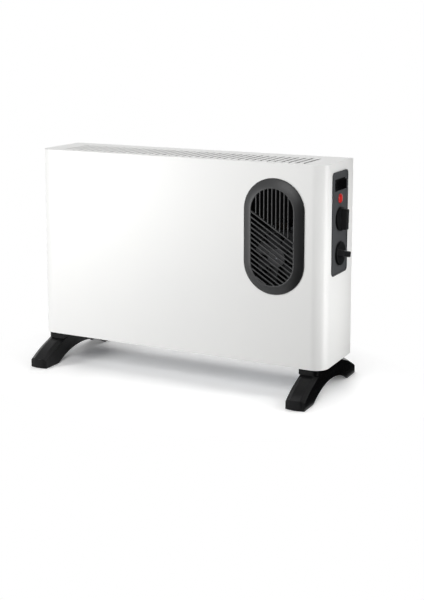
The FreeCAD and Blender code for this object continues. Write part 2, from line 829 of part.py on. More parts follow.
def make_fan_grille():
    shell = Piece("fan_grille_shell", grille_x, front, grille_z)
    foot_print = shell.sketch("XZ_Plane")
    stadium(foot_print, size(0), size(0), grille_half_width, grille_half_height)
    shell.pad(foot_print, S.grille_rim)
    bevel = []
    for inset, lift in ((size(0), S.grille_rim), (S.grille_bevel, S.grille_rise)):
        level = shell.sketch("XZ_Plane", lift)
        stadium(level, size(0), size(0), grille_half_width - inset, grille_half_height - inset)
        bevel.append(level)
    shell.loft(bevel)
    hollow = shell.sketch("XZ_Plane")
    stadium(hollow, size(0), size(0), grille_half_width - S.grille_bevel, grille_half_height - S.grille_bevel)
    shell.pocket(hollow, S.grille_rise - S.grille_plate, reverse=True)
    bosses = shell.sketch("XZ_Plane", S.grille_rise / 2)
    for x, z in boss_places():
        hexagon(bosses, x, fan_z - grille_z + z, S.boss_radius)
    shell.pad(bosses, S.grille_rise / 2 + S.fan_set_back, reverse=True)
    pilots = shell.sketch("XZ_Plane", -S.fan_set_back)
    for x, z in boss_places():
        hexagon(pilots, x, fan_z - grille_z + z, screw_hole)
    shell.pocket(pilots, S.fan_set_back, reverse=True)
    edge_x = grille_half_width - S.grille_lap - S.sheet_gap
    behind = S.sheet + S.sheet_gap
    rise = grille_half_height - grille_half_width - S.hook_length
    stems = shell.sketch("XZ_Plane", S.grille_rim)
    barbs = shell.sketch("XZ_Plane", -behind)
    for side in (-1, 1):
        for level in (-rise, rise):
            low, high = level - S.hook_length / 2, level + S.hook_length / 2
            edges = sorted([side * (edge_x - S.hook_barb), side * edge_x], key=float)
            rectangle(stems, edges[0], low, edges[1], high)
            edges = sorted([side * (edge_x - S.hook_barb), side * (edge_x + S.hook_barb)], key=float)
            rectangle(barbs, edges[0], low, edges[1], high)
    shell.pad(stems, S.grille_rim + behind + S.hook_barb, reverse=True)
    shell.pad(barbs, S.hook_barb, reverse=True)
    doc.recompute()
    keep("fan_grille", cut(shell.body, group(grille_slots())))
    seat = front + S.fan_set_back + S.fan_frame_depth
    length = S.fan_frame_depth + S.fan_set_back - S.screw_end_gap
    fixings = [screw((grille_x + x, seat, fan_z + z), (0, -1, 0), S.screw_radius, length)
               for x, z in boss_places()]
    keep("grille_screws", group(fixings))


def grille_slots():
    """The slot cutters: upright ones above the divider, slanted ones below it."""
    inset = S.grille_bevel + S.grille_slot_border
    reach_x, reach_z = grille_half_width - inset, grille_half_height - inset
    through = 2 * S.grille_plate
    plane = front - S.grille_rise - S.grille_plate / 2
    oval = fused([
        box(grille_x - reach_x, plane, grille_z - reach_z + reach_x,
            2 * reach_x, through, 2 * (reach_z - reach_x)),
        cylinder(grille_x, plane, grille_z + reach_z - reach_x, reach_x, through, BACKWARDS),
        cylinder(grille_x, plane, grille_z - reach_z + reach_x, reach_x, through, BACKWARDS)])
    lean = Rotation(Vector(0, 1, 0), float(S.divider_angle))
    length = 2 * reach_z
    across, along = sine(S.divider_angle), cosine(S.divider_angle)

    def slanted(from_divider, height):
        """A strip along the divider, its lower edge at that distance above the divider's middle line."""
        x = grille_x - along * length / 2 + across * from_divider
        z = grille_z + S.divider_lift + across * length / 2 + along * from_divider
        strip = box(x, plane, z, length, through, height, lean)
        bind(strip, "Placement.Rotation.Angle", S.divider_angle)
        return strip

    above = slanted(S.divider_width / 2, length)
    below = slanted(-length - S.divider_width / 2, length)
    upright_count = int(2 * float(reach_x) / float(S.grille_slot_pitch))
    upright = [box(grille_x + (i - (upright_count - 1) / 2) * S.grille_slot_pitch - S.grille_slot_width / 2,
                   plane, grille_z - reach_z, S.grille_slot_width, through, length)
               for i in range(upright_count)]
    farthest = float(reach_z + S.divider_lift) * math.cos(math.radians(float(S.divider_angle)))
    farthest += float(reach_x) * math.sin(math.radians(float(S.divider_angle)))
    slant_count = int(farthest / float(S.grille_slot_pitch))
    slanting = [slanted(-S.divider_width / 2 - i * S.grille_slot_pitch - S.grille_slot_width,
                        S.grille_slot_width) for i in range(slant_count)]
    return [shared(shared(oval, above), group(upright)), shared(shared(oval, below), group(slanting))]


# Fan: a square frame with a bearing spider at its back, and an axial impeller

fan_y = front + S.fan_set_back
ring_inner = S.fan_radius + S.fan_tip_gap
frame_half = ring_inner + S.fan_frame_wall
motor_y = fan_y + S.fan_frame_depth
stack_y = motor_y + S.post_length
rear_strap_y = stack_y + S.stack_thickness + S.post_length
running_bore = S.shaft_radius + S.shaft_fit
fan_play = (S.fan_frame_depth - S.spider_thickness - S.hub_depth) / 2
post_places = (-S.post_spread / 2, S.post_spread / 2)


def make_fan_frame():
    frame = Piece("fan_frame", grille_x, fan_y, fan_z, BACKWARDS)
    square = frame.sketch("XY_Plane")
    half_lug = S.lug_width / 2
    lug_end = frame_half + S.lug_drop + half_lug
    outline(square, [
        (-frame_half, -frame_half), (frame_half, -frame_half), (frame_half, frame_half),
        (half_lug, frame_half), (half_lug, lug_end), (-half_lug, lug_end),
        (-half_lug, frame_half), (-frame_half, frame_half)])
    frame.pad(square, S.fan_frame_depth)
    openings = frame.sketch("XY_Plane")
    circle(openings, size(0), size(0), ring_inner)
    for x, z in boss_places():
        hexagon(openings, x, -z, screw_hole)
    frame.pocket(openings, S.fan_frame_depth, reverse=True)
    arms = frame.sketch("XY_Plane", S.fan_frame_depth)
    rectangle(arms, -S.arm_width / 2, -frame_half, S.arm_width / 2, frame_half)
    frame.pad(arms, S.spider_thickness, reverse=True)
    bar = frame.sketch("XY_Plane", S.fan_frame_depth)
    reach = S.post_spread / 2 + S.strap_width / 2
    rectangle(bar, -reach, -S.strap_width / 2, reach, S.strap_width / 2)
    frame.pad(bar, S.spider_thickness, reverse=True)
    posts = frame.sketch("XY_Plane", S.fan_frame_depth)
    for x in post_places:
        hexagon(posts, x, size(0), S.post_radius)
    frame.pad(posts, S.post_length)
    holes = frame.sketch("XY_Plane", S.fan_frame_depth + S.post_length)
    circle(holes, size(0), size(0), running_bore)
    for x in post_places:
        hexagon(holes, x, size(0), screw_hole)
    frame.pocket(holes, S.post_length + S.spider_thickness)
    keep("fan_frame", frame.body)


def make_fan_impeller():
    fan = Piece("fan_impeller", grille_x, fan_y + fan_play, fan_z, BACKWARDS)
    hub = fan.sketch("XY_Plane")
    circle(hub, size(0), size(0), S.hub_radius)
    fan.pad(hub, S.hub_depth)
    blade = fan.sketch("XY_Plane", S.hub_depth / 2)
    blade.AttachmentOffset = Placement(blade.AttachmentOffset.Base, Rotation(Vector(1, 0, 0), 1))
    bind(blade, "AttachmentOffset.Rotation.Angle", S.blade_pitch)
    root_x = S.hub_radius - S.blade_root_sink
    root_half, tip_half = S.blade_root_chord / 2, S.blade_tip_chord / 2
    tip_x = root(S.fan_radius * S.fan_radius - tip_half * tip_half)
    outline(blade, [(root_x, -root_half), (tip_x, -tip_half), (tip_x, tip_half), (root_x, root_half)])
    first = fan.pad(blade, S.blade_thickness, both=True)
    fan.ring(first, "Z_Axis", S.blade_count)
    bore = fan.sketch("XY_Plane")
    polygon(bore, size(0), size(0), running_bore, SHAFT_SIDES)
    fan.pocket(bore, S.hub_depth, reverse=True)
    keep("fan_impeller", fan.body)


# Motor: a laminated stack with its coil, a rotor on its shaft and a rear bearing strap

def make_strap():
    """The rear bearing strap, on two posts that stand on the stack."""
    strap = Piece("motor_bracket", grille_x, rear_strap_y, fan_z, BACKWARDS)
    plate = strap.sketch("XY_Plane")
    reach = S.post_spread / 2 + S.strap_width / 2
    rectangle(plate, -reach, -S.strap_width / 2, reach, S.strap_width / 2)
    strap.pad(plate, S.strap_thickness)
    posts = strap.sketch("XY_Plane")
    for x in post_places:
        hexagon(posts, x, size(0), S.post_radius)
    strap.pad(posts, S.post_length, reverse=True)
    holes = strap.sketch("XY_Plane", S.strap_thickness)
    circle(holes, size(0), size(0), running_bore)
    for x in post_places:
        hexagon(holes, x, size(0), screw_hole)
    strap.pocket(holes, S.strap_thickness + S.post_length)
    keep("motor_bracket", strap.body)


def make_motor():
    make_strap()
    half = S.stack_width / 2
    bore = S.rotor_radius + S.rotor_gap
    bridge = -bore - S.stack_bridge
    leg = bridge - S.stack_window
    stack_end = leg - S.stack_leg
    stack = Piece("motor_stack", grille_x, stack_y, fan_z, BACKWARDS)
    face = stack.sketch("XY_Plane")
    rectangle(face, -half, stack_end, half, S.stack_foot)
    stack.pad(face, S.stack_thickness)
    window_half = half - S.stack_side
    openings = stack.sketch("XY_Plane", S.stack_thickness)
    circle(openings, size(0), size(0), bore)
    rectangle(openings, -window_half, leg, window_half, bridge)
    for x in post_places:
        hexagon(openings, x, size(0), screw_hole)
    stack.pocket(openings, S.stack_thickness)
    keep("motor_stack", stack.body)
    coil = Piece("motor_coil", grille_x, stack_y, fan_z, BACKWARDS)
    section = coil.sketch("YZ_Plane")
    low_y, high_y = stack_end - S.coil_gap, leg + S.coil_gap
    low_z, high_z = -S.coil_gap, S.stack_thickness + S.coil_gap
    build = S.coil_build
    rectangle(section, low_y - build, low_z - build, high_y + build, high_z + build)
    rectangle(section, low_y, low_z, high_y, high_z)
    coil.pad(section, 2 * (window_half - S.coil_gap), both=True)
    keep("motor_coil", coil.body)
    rotor = Piece("motor_rotor", grille_x, fan_y + fan_play, fan_z, BACKWARDS)
    rotor_start = stack_y - fan_y - fan_play + S.coil_gap
    rotor_end = rotor_start + S.stack_thickness - 2 * S.coil_gap
    shaft_end = rear_strap_y - fan_y - fan_play + S.strap_thickness + S.shaft_radius
    shaft = rotor.sketch("XY_Plane", S.sheet)
    polygon(shaft, size(0), size(0), S.shaft_radius, SHAFT_SIDES)
    rotor.pad(shaft, shaft_end - S.sheet)
    cage = rotor.sketch("XY_Plane", rotor_start)
    polygon(cage, size(0), size(0), S.rotor_radius, DISC_SIDES)
    rotor.pad(cage, rotor_end - rotor_start)
    keep("motor_rotor", rotor.body)
    seat = rear_strap_y + S.strap_thickness
    length = seat - motor_y + S.spider_thickness - S.screw_end_gap
    fixings = [screw((grille_x + x, seat, fan_z), (0, -1, 0), S.screw_radius, length)
               for x in post_places]
    keep("motor_screws", group(fixings))


# Heating elements: two mica boards between sheet brackets, each with a zigzag ribbon

board_levels = (-S.board_spread / 2, S.board_spread / 2)


def make_bracket(label, x, inward):
    """An angle bracket welded to the base plate; its upright sheet is slotted for the board tabs."""
    bracket = Piece(label, x, 0, heater_floor)
    half = half_depth - S.heater_side_room
    upright = bracket.sketch("YZ_Plane")
    rectangle(upright, -half, size(0), half, S.bracket_height)
    bracket.pad(upright, S.bracket_sheet, reverse=inward > 0)
    flange = bracket.sketch("XY_Plane")
    edges = sorted([-inward * S.bracket_sheet, inward * S.bracket_flange], key=float)
    rectangle(flange, edges[0], -half, edges[1], half)
    bracket.pad(flange, S.bracket_sheet)
    slots = bracket.sketch("YZ_Plane", S.bracket_sheet)
    middle_z = S.board_low + S.board_height / 2
    tab = S.board_tab_height / 2 + S.board_play
    for level in board_levels:
        rectangle(slots, level - S.board_thickness / 2 - S.board_play, middle_z - tab,
                  level + S.board_thickness / 2 + S.board_play, middle_z + tab)
    bracket.pocket(slots, 2 * S.bracket_sheet)
    keep(label, bracket.body)


def make_heater():
    make_bracket("heater_bracket_left", heater_left, 1)
    make_bracket("heater_bracket_right", heater_right, -1)
    start, end = heater_left + S.board_play, heater_right - S.board_play
    tab_out = S.bracket_sheet + S.board_play + S.board_tab_out
    low, high = S.board_low, S.board_low + S.board_height
    tab_low = low + (S.board_height - S.board_tab_height) / 2
    tab_high = tab_low + S.board_tab_height
    run = end - start - 2 * S.ribbon_border
    count = whole(run / S.ribbon_pitch)
    for name, level in zip(("front", "rear"), board_levels):
        board = Piece(f"mica_board_{name}", size(0), level, heater_floor)
        face = board.sketch("XZ_Plane")
        outline(face, [
            (start, low), (end, low), (end, tab_low), (end + tab_out, tab_low), (end + tab_out, tab_high),
            (end, tab_high), (end, high), (start, high), (start, tab_high),
            (start - tab_out, tab_high), (start - tab_out, tab_low), (start, tab_low)])
        board.pad(face, S.board_thickness, both=True)
        keep(f"mica_board_{name}", board.body)
        ahead = name == "front"
        surface = level - S.board_thickness / 2 if ahead else level + S.board_thickness / 2
        ribbon_start = (start + end - count * S.ribbon_pitch) / 2
        ribbon = Piece(f"heating_ribbon_{name}", ribbon_start, surface, heater_floor)
        zigzag = ribbon.sketch("XZ_Plane")
        wide, half = S.ribbon_width, S.ribbon_pitch / 2
        floor, ceiling = low + S.ribbon_border, high - S.ribbon_border
        outline(zigzag, [
            (size(0), floor), (wide, floor), (wide, ceiling - wide), (half, ceiling - wide),
            (half, floor), (2 * half + wide, floor), (2 * half + wide, floor + wide),
            (half + wide, floor + wide), (half + wide, ceiling), (size(0), ceiling)])
        turn = ribbon.pad(zigzag, S.ribbon_thickness, reverse=not ahead)
        ribbon.row(turn, "X_Axis", (count - 1) * S.ribbon_pitch, count)
        keep(f"heating_ribbon_{name}", ribbon.body)


# Thermal cut-out: a small bimetal switch on the right heater bracket

def make_thermal_cutout():
    cutout = Piece("thermal_cutout", heater_right + S.bracket_sheet, size(0), heater_floor)
    level = S.board_low + S.board_height / 2
    case = cutout.sketch("YZ_Plane")
    half_y, half_z = S.cutout_width / 2, S.cutout_height / 2
    rectangle(case, -half_y, level - half_z, half_y, level + half_z)
    cutout.pad(case, S.cutout_depth)
    terminals = cutout.sketch("YZ_Plane", S.cutout_depth / 2)
    reach = half_y + S.blade_terminal_out
    rectangle(terminals, -reach, level - S.blade_terminal / 2, reach, level + S.blade_terminal / 2)
    cutout.pad(terminals, S.sheet)
    keep("thermal_cutout", cutout.body)


# Control panel: a dished plate with a raised rim and a skirt through the casing

def make_control_panel():
    panel = Piece("control_panel", right_side, size(0), panel_z)
    half_y, half_z = S.panel_width / 2, S.panel_height / 2

    def framed(drawing, inset, rounding=None):
        rectangle(drawing, inset - half_y, inset - half_z, half_y - inset, half_z - inset, rounding)

    plate = panel.sketch("YZ_Plane")
    framed(plate, size(0), S.panel_round)
    panel.pad(plate, S.panel_rim)
    skirt = panel.sketch("YZ_Plane")
    framed(skirt, S.panel_lap)
    panel.pad(skirt, S.panel_skirt, reverse=True)
    dish = panel.sketch("YZ_Plane", S.panel_rim)
    framed(dish, S.panel_rim_width, S.panel_round - S.panel_rim_width)
    panel.pocket(dish, S.panel_dish)
    hollow = panel.sketch("YZ_Plane", -S.panel_skirt)
    framed(hollow, S.panel_lap + S.panel_wall)
    panel.pocket(hollow, S.panel_skirt + panel_rear - right_side, reverse=True)
    openings = panel.sketch("YZ_Plane", S.panel_rim)
    rocker_level = rocker_z - panel_z
    rectangle(openings, -S.rocker_length / 2, rocker_level - S.rocker_width / 2,
              S.rocker_length / 2, rocker_level + S.rocker_width / 2)
    lamp_level, stem_half = lamp_z - panel_z, S.lens_stem / 2 + S.lens_gap
    rectangle(openings, -stem_half, lamp_level - stem_half, stem_half, lamp_level + stem_half)
    for level in (selector_z - panel_z, thermostat_z - panel_z):
        hexagon(openings, size(0), level, S.stem_radius + S.stem_hole_gap)
    panel.pocket(openings, S.panel_rim + S.panel_skirt)
    add_clips(panel, selector_z - panel_z, S.switch_side / 2, S.switch_depth)
    add_clips(panel, thermostat_z - panel_z, S.thermostat_side / 2, S.thermostat_depth)
    keep("control_panel", panel.body)


def add_clips(panel, level, half_side, depth):
    """Two hooks that hold a switch case of that size against the back of the panel."""
    near = half_side + S.sheet_gap
    far = near + S.clip_thickness
    low, high = level - S.clip_width / 2, level + S.clip_width / 2
    stems = panel.sketch("YZ_Plane", panel_rear - right_side)
    barbs = panel.sketch("YZ_Plane", panel_rear - right_side - depth)
    for side in (-1, 1):
        edges = sorted([side * near, side * far], key=float)
        rectangle(stems, edges[0], low, edges[1], high)
        edges = sorted([side * (near - S.clip_barb), side * far], key=float)
        rectangle(barbs, edges[0], low, edges[1], high)
    panel.pad(stems, depth + S.clip_thickness, reverse=True)
    panel.pad(barbs, S.clip_thickness, reverse=True)


# Rocker switch: a frame set in the panel, with a key that tilts on two pins

rocker_pivot = panel_face - S.rocker_pivot_depth
rocker_reach = S.rocker_length / 2 - S.rocker_frame - S.rocker_play
rocker_half = S.rocker_width / 2 - S.rocker_frame - S.rocker_play


def make_rocker():
    frame = Piece("rocker_switch_body", panel_face, size(0), rocker_z)
    half_y, half_z = S.rocker_length / 2 - S.sheet_gap, S.rocker_width / 2 - S.sheet_gap
    block = frame.sketch("YZ_Plane")
    rectangle(block, -half_y, -half_z, half_y, half_z)
    frame.pad(block, S.rocker_body_depth, reverse=True)
    cavity = frame.sketch("YZ_Plane")
    inner_y, inner_z = S.rocker_length / 2 - S.rocker_frame, S.rocker_width / 2 - S.rocker_frame
    rectangle(cavity, -inner_y, -inner_z, inner_y, inner_z)
    frame.pocket(cavity, S.rocker_pivot_depth + S.rocker_depth + 2 * S.rocker_pin_radius)
    pins = frame.sketch("XY_Plane")
    circle(pins, -S.rocker_pivot_depth, size(0), S.rocker_pin_radius + S.shaft_fit)
    frame.pocket(pins, S.rocker_width, both=True)
    blades = frame.sketch("YZ_Plane", -S.rocker_body_depth)
    for y in (-S.rocker_terminal_step, size(0), S.rocker_terminal_step):
        rectangle(blades, y - S.sheet / 2, -S.blade_terminal / 2, y + S.sheet / 2, S.blade_terminal / 2)
    frame.pad(blades, S.blade_terminal_out, reverse=True)
    keep("rocker_switch_body", frame.body)
    tilt = Rotation(Vector(0, 0, -1), float(S.rocker_tilt))
    key = Piece("fan_rocker", rocker_pivot, size(0), rocker_z, tilt)
    bind(key.body, "Placement.Rotation.Angle", S.rocker_tilt)
    crest = S.rocker_pivot_depth + S.rocker_crest
    crest_y = root(rocker_reach * rocker_reach - crest * crest)
    heel_y = root(rocker_reach * rocker_reach - S.rocker_depth * S.rocker_depth)
    profile = key.sketch("XY_Plane")
    outline(profile, [
        (crest, -crest_y), (S.rocker_pivot_depth, size(0)), (crest, crest_y),
        (-S.rocker_depth, heel_y), (-S.rocker_depth, -heel_y)])
    key.pad(profile, 2 * rocker_half, both=True)
    axle = key.sketch("XY_Plane")
    polygon(axle, size(0), size(0), S.rocker_pin_radius, SHAFT_SIDES)
    key.pad(axle, S.rocker_width - 2 * S.sheet_gap, both=True)
    keep("fan_rocker", key.body)


# Pilot lamp: a domed lens in the panel and a sleeve behind it

def make_pilot_lamp():
    lens = Piece("pilot_lens", panel_face, size(0), lamp_z)
    dome = lens.sketch("YZ_Plane")
    polygon(dome, size(0), size(0), S.lens_radius, DISC_SIDES)
    lens.pad(dome, S.lens_height)
    outer = float(S.lens_height)
    lens.chamfer(S.lens_bevel, lambda bounds: bounds.XMin > outer - FINE)
    stem = lens.sketch("YZ_Plane")
    half = S.lens_stem / 2
    rectangle(stem, -half, -half, half, half)
    lens.pad(stem, S.lens_length, reverse=True)
    keep("pilot_lens", lens.body)
    lamp = Piece("pilot_lamp_body", panel_rear, size(0), lamp_z)
    bore = half + S.lens_gap
    outer = bore + S.lamp_wall
    sleeve = lamp.sketch("YZ_Plane")
    rectangle(sleeve, -outer, -outer, outer, outer)
    lamp.pad(sleeve, S.lamp_length, reverse=True)
    cavity = lamp.sketch("YZ_Plane")
    rectangle(cavity, -bore, -bore, bore, bore)
    lamp.pocket(cavity, S.lens_length - S.panel_wall + S.lens_gap)
    blades = lamp.sketch("YZ_Plane", -S.lamp_length)
    for y in (-half / 2, half / 2):
        rectangle(blades, y - S.sheet / 2, -S.lamp_terminal / 2, y + S.sheet / 2, S.lamp_terminal / 2)
    lamp.pad(blades, S.blade_terminal_out, reverse=True)
    keep("pilot_lamp_body", lamp.body)


# Knobs: a flat disc with a tapered finger bar across it and a stem that turns in its switch

def make_knob(label, level, rest):
    knob = Piece(label, panel_face, size(0), level, Rotation(Vector(-1, 0, 0), float(rest)))
    bind(knob.body, "Placement.Rotation.Angle", rest)
    low = S.knob_gap
    disc = knob.sketch("YZ_Plane", low)
    circle(disc, size(0), size(0), S.knob_radius)
    knob.pad(disc, S.knob_disc)
    bar = knob.sketch("YZ_Plane", low)
    rectangle(bar, -S.grip_width / 2, -S.grip_length / 2, S.grip_width / 2, S.grip_length / 2)
    grip = knob.pad(bar, S.grip_reach - low)
    bind(grip, "TaperAngle", -S.grip_draft)
    outer = float(S.grip_reach)
    knob.chamfer(S.grip_chamfer, lambda bounds: bounds.XMin > outer - FINE)
    stem = knob.sketch("YZ_Plane", low)
    polygon(stem, size(0), size(0), S.stem_radius, SHAFT_SIDES)
    knob.pad(stem, S.knob_gap + S.panel_wall + S.stem_depth - S.stem_gap, reverse=True)
    keep(label, knob.body)


def make_switch(label, level, side, depth, terminal_levels):
    """A boxed rotary control behind the panel, with a bore for the stem and a row of terminals."""
    switch = Piece(label, panel_rear, size(0), level)
    case = switch.sketch("YZ_Plane")
    rectangle(case, -side / 2, -side / 2, side / 2, side / 2)
    switch.pad(case, depth, reverse=True)
    holes = switch.sketch("YZ_Plane")
    circle(holes, size(0), size(0), S.stem_radius + S.shaft_fit)
    switch.pocket(holes, S.stem_depth)
    blades = switch.sketch("YZ_Plane", -depth)
    for height in terminal_levels:
        rectangle(blades, -S.blade_terminal / 2, height - S.sheet / 2,
                  S.blade_terminal / 2, height + S.sheet / 2)
    switch.pad(blades, S.blade_terminal_out, reverse=True)
    keep(label, switch.body)


def make_controls():
    make_knob("selector_knob", selector_z, S.selector_rest)
    make_knob("thermostat_knob", thermostat_z, S.thermostat_rest)
    third = S.switch_side / 3
    make_switch("selector_switch", selector_z, S.switch_side, S.switch_depth, (-third, size(0), third))
    third = S.thermostat_side / 3
    make_switch("thermostat_body", thermostat_z, S.thermostat_side, S.thermostat_depth, (-third, third))


# Supply lead entry: a gland in the back panel and a terminal block on the base plate

terminal_y = back - S.sheet - S.bush_in - S.terminal_gap


def make_lead_entry():
    bush = Piece("cord_bush", bush_x, back, bush_z)
    lip = S.bush_radius + S.bush_flange
    flange = bush.sketch("XZ_Plane")
    rectangle(flange, -lip, -lip, lip, lip)
    bush.pad(flange, S.bush_flange, reverse=True)
    stem = bush.sketch("XZ_Plane")
    rectangle(stem, -S.bush_radius, -S.bush_radius, S.bush_radius, S.bush_radius)
    bush.pad(stem, S.sheet + S.bush_in)
    bore = bush.sketch("XZ_Plane", -S.bush_flange)
    circle(bore, size(0), size(0), S.bush_bore)
    bush.pocket(bore, S.bush_flange + S.sheet + S.bush_in, reverse=True)
    keep("cord_bush", bush.body)
    block = Piece("terminal_block", bush_x, terminal_y, heater_floor)
    plan = block.sketch("XY_Plane")
    half_x, half_y = S.terminal_length / 2, S.terminal_width / 2
    rectangle(plan, -half_x, -half_y, half_x, half_y)
    block.pad(plan, S.terminal_height)
    wires = block.sketch("XZ_Plane")
    pole = S.terminal_length / 3
    half_wire = S.terminal_wire / 2
    for x in (-pole, size(0), pole):
        rectangle(wires, x - half_wire, S.terminal_height / 2 - half_wire,
                  x + half_wire, S.terminal_height / 2 + half_wire)
    block.pocket(wires, 2 * S.terminal_width, both=True)
    keep("terminal_block", block.body)


make_front_casing()
make_top_panel()
make_base_plate()
make_back_panel()
make_feet()
make_fan_grille()
make_fan_frame()
make_fan_impeller()
make_motor()
make_heater()
make_thermal_cutout()
make_control_panel()
make_rocker()
make_pilot_lamp()
make_controls()
make_lead_entry()
doc.recompute()

faults = [item.Label for item in doc.Objects if "Invalid" in item.State or "Error" in item.State]
faults += [item.Label for item in nodes if item.Shape.isNull() or not item.Shape.isValid()]
if faults:
    raise RuntimeError("failed: " + ", ".join(faults))
os.makedirs("parts", exist_ok=True)
for item in nodes:
    item.Shape.exportStep(f"parts/{item.Label}.step")
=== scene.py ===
"""Convector heater with a turbo fan: finishes, fine shapes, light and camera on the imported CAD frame."""
import json
import math

import bmesh
import bpy
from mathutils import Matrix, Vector


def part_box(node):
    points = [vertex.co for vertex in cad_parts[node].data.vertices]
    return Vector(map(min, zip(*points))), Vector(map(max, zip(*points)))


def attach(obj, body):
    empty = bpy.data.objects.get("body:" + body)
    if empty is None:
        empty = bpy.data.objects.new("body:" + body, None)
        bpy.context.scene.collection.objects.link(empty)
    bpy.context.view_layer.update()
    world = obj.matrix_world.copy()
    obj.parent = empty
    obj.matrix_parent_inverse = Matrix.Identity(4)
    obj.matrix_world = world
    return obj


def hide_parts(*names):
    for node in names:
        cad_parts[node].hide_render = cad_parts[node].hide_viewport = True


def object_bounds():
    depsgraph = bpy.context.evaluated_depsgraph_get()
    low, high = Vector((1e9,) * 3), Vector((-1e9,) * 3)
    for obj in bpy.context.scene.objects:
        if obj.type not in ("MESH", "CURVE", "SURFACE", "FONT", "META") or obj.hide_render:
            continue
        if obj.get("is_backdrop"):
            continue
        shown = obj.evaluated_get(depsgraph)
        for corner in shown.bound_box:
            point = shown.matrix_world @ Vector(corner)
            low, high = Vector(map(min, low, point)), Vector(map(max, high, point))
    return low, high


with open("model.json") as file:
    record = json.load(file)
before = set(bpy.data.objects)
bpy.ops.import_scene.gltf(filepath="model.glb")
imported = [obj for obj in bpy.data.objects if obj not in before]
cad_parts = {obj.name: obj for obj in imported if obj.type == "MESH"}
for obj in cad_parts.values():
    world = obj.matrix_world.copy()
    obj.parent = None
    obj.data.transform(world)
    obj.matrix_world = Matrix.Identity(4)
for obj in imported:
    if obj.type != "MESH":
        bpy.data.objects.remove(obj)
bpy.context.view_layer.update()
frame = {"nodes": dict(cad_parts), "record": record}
cad_nodes = frame["nodes"]
MM = 0.001
X, Y, Z = range(3)


# Small tools

def linear(hex_colour):
    """An sRGB hex colour as the linear colour that Blender's sockets take."""
    parts = [int(hex_colour[i:i + 2], 16) / 255 for i in (0, 2, 4)]
    return [p / 12.92 if p <= 0.04045 else ((p + 0.055) / 1.055) ** 2.4 for p in parts] + [1.0]


def add(tree, kind, values=None, links=None, **settings):
    """One node in a shader or geometry tree, with its settings, socket values and incoming links."""
    node = tree.nodes.new(kind)
    for name, value in settings.items():
        setattr(node, name, value)
    for socket, value in (values or {}).items():
        node.inputs[socket].default_value = value
    for socket, source in (links or {}).items():
        tree.links.new(source, node.inputs[socket])
    return node


def maths(tree, operation, *terms):
    """The result of a maths node; each term is a float or the output of another node."""
    numbers = {i: term for i, term in enumerate(terms) if isinstance(term, float)}
    outputs = {i: term for i, term in enumerate(terms) if i not in numbers}
    return add(tree, "ShaderNodeMath", numbers, outputs, operation=operation).outputs["Value"]


def mesh_from(form, name, smooth=False):
    """The form as a mesh of that name; the form itself is let go."""
    if smooth:
        for face in form.faces:
            face.smooth = True
    mesh = bpy.data.meshes.new(name)
    form.to_mesh(mesh)
    form.free()
    return mesh


def link_mesh(name, mesh):
    """The mesh as an object in the scene."""
    piece = bpy.data.objects.new(name, mesh)
    bpy.context.scene.collection.objects.link(piece)
    return piece


def join_rings(form, lower, upper):
    """A band of faces between two rings that have as many points."""
    for i in range(len(lower)):
        j = (i + 1) % len(lower)
        form.faces.new((lower[i], lower[j], upper[j], upper[i]))


# Finishes

CLOUD_DETAIL, GRAIN_DETAIL, STREAK_DETAIL = 3.0, 2.0, 4.0


def start_finish(name):
    """A new material: its tree, its shader and the place on the piece that patterns are drawn by."""
    material = bpy.data.materials.new(name)
    material.use_nodes = True
    tree = material.node_tree
    tree.nodes.clear()
    shader = add(tree, "ShaderNodeBsdfPrincipled")
    add(tree, "ShaderNodeOutputMaterial", links={"Surface": shader.outputs["BSDF"]})
    place = add(tree, "ShaderNodeTexCoord").outputs["Object"]
    return material, tree, shader, place


def noise(tree, place, size_mm, detail):
    """A noise whose grains are about that size on the piece."""
    values = {"Scale": 1 / (size_mm * MM), "Detail": detail}
    return add(tree, "ShaderNodeTexNoise", values, {"Vector": place}).outputs["Fac"]


def shade_and_gloss(tree, shader, pattern, dark, light, roughness):
    """Lets a pattern shift a finish between two shades and between two roughnesses."""
    shade = add(tree, "ShaderNodeMix", {"A": linear(dark), "B": linear(light)}, {"Factor": pattern},
                data_type="RGBA")
    tree.links.new(shade.outputs["Result"], shader.inputs["Base Color"])
    gloss = add(tree, "ShaderNodeMapRange", {"To Min": roughness[0], "To Max": roughness[1]},
                {"Value": pattern})
    tree.links.new(gloss.outputs["Result"], shader.inputs["Roughness"])


def bumped(tree, shader, pattern, depth_mm):
    """Raises a pattern on the skin."""
    bump = add(tree, "ShaderNodeBump", {"Distance": depth_mm * MM}, {"Height": pattern})
    tree.links.new(bump.outputs["Normal"], shader.inputs["Normal"])


def grained_finish(name, dark, light, roughness, grain_mm, depth_mm, cloud_mm=45, specular=0.5):
    """A sprayed or moulded skin: grains as bump, and a slow cloud that shifts its shade and gloss."""
    material, tree, shader, place = start_finish(name)
    shade_and_gloss(tree, shader, noise(tree, place, cloud_mm, CLOUD_DETAIL), dark, light, roughness)
    bumped(tree, shader, noise(tree, place, grain_mm, GRAIN_DETAIL), depth_mm)
    shader.inputs["Specular IOR Level"].default_value = specular
    return material


def metal_finish(name, dark, light, roughness, streak_mm, depth_mm, stretch=(1, 1, 1)):
    """A bare metal: spangle, or streaks where stretch draws it out along an axis by a scale below 1."""
    material, tree, shader, place = start_finish(name)
    drawn = add(tree, "ShaderNodeMapping", {"Scale": stretch}, {"Vector": place})
    streak = noise(tree, drawn.outputs["Vector"], streak_mm, STREAK_DETAIL)
    shade_and_gloss(tree, shader, streak, dark, light, roughness)
    bumped(tree, shader, streak, depth_mm)
    shader.inputs["Metallic"].default_value = 1.0
    return material


# Powder-coated sheet steel: a satin white skin whose orange peel softens every reflection.
# The real peel is about 1 mm across; it is drawn at 3 mm so that it shows.
white_coat = grained_finish("powder_coated_steel_white", "f0f0ef", "f4f4f2", roughness=(0.32, 0.40),
                            grain_mm=3.0, depth_mm=0.02, cloud_mm=120, specular=0.3)

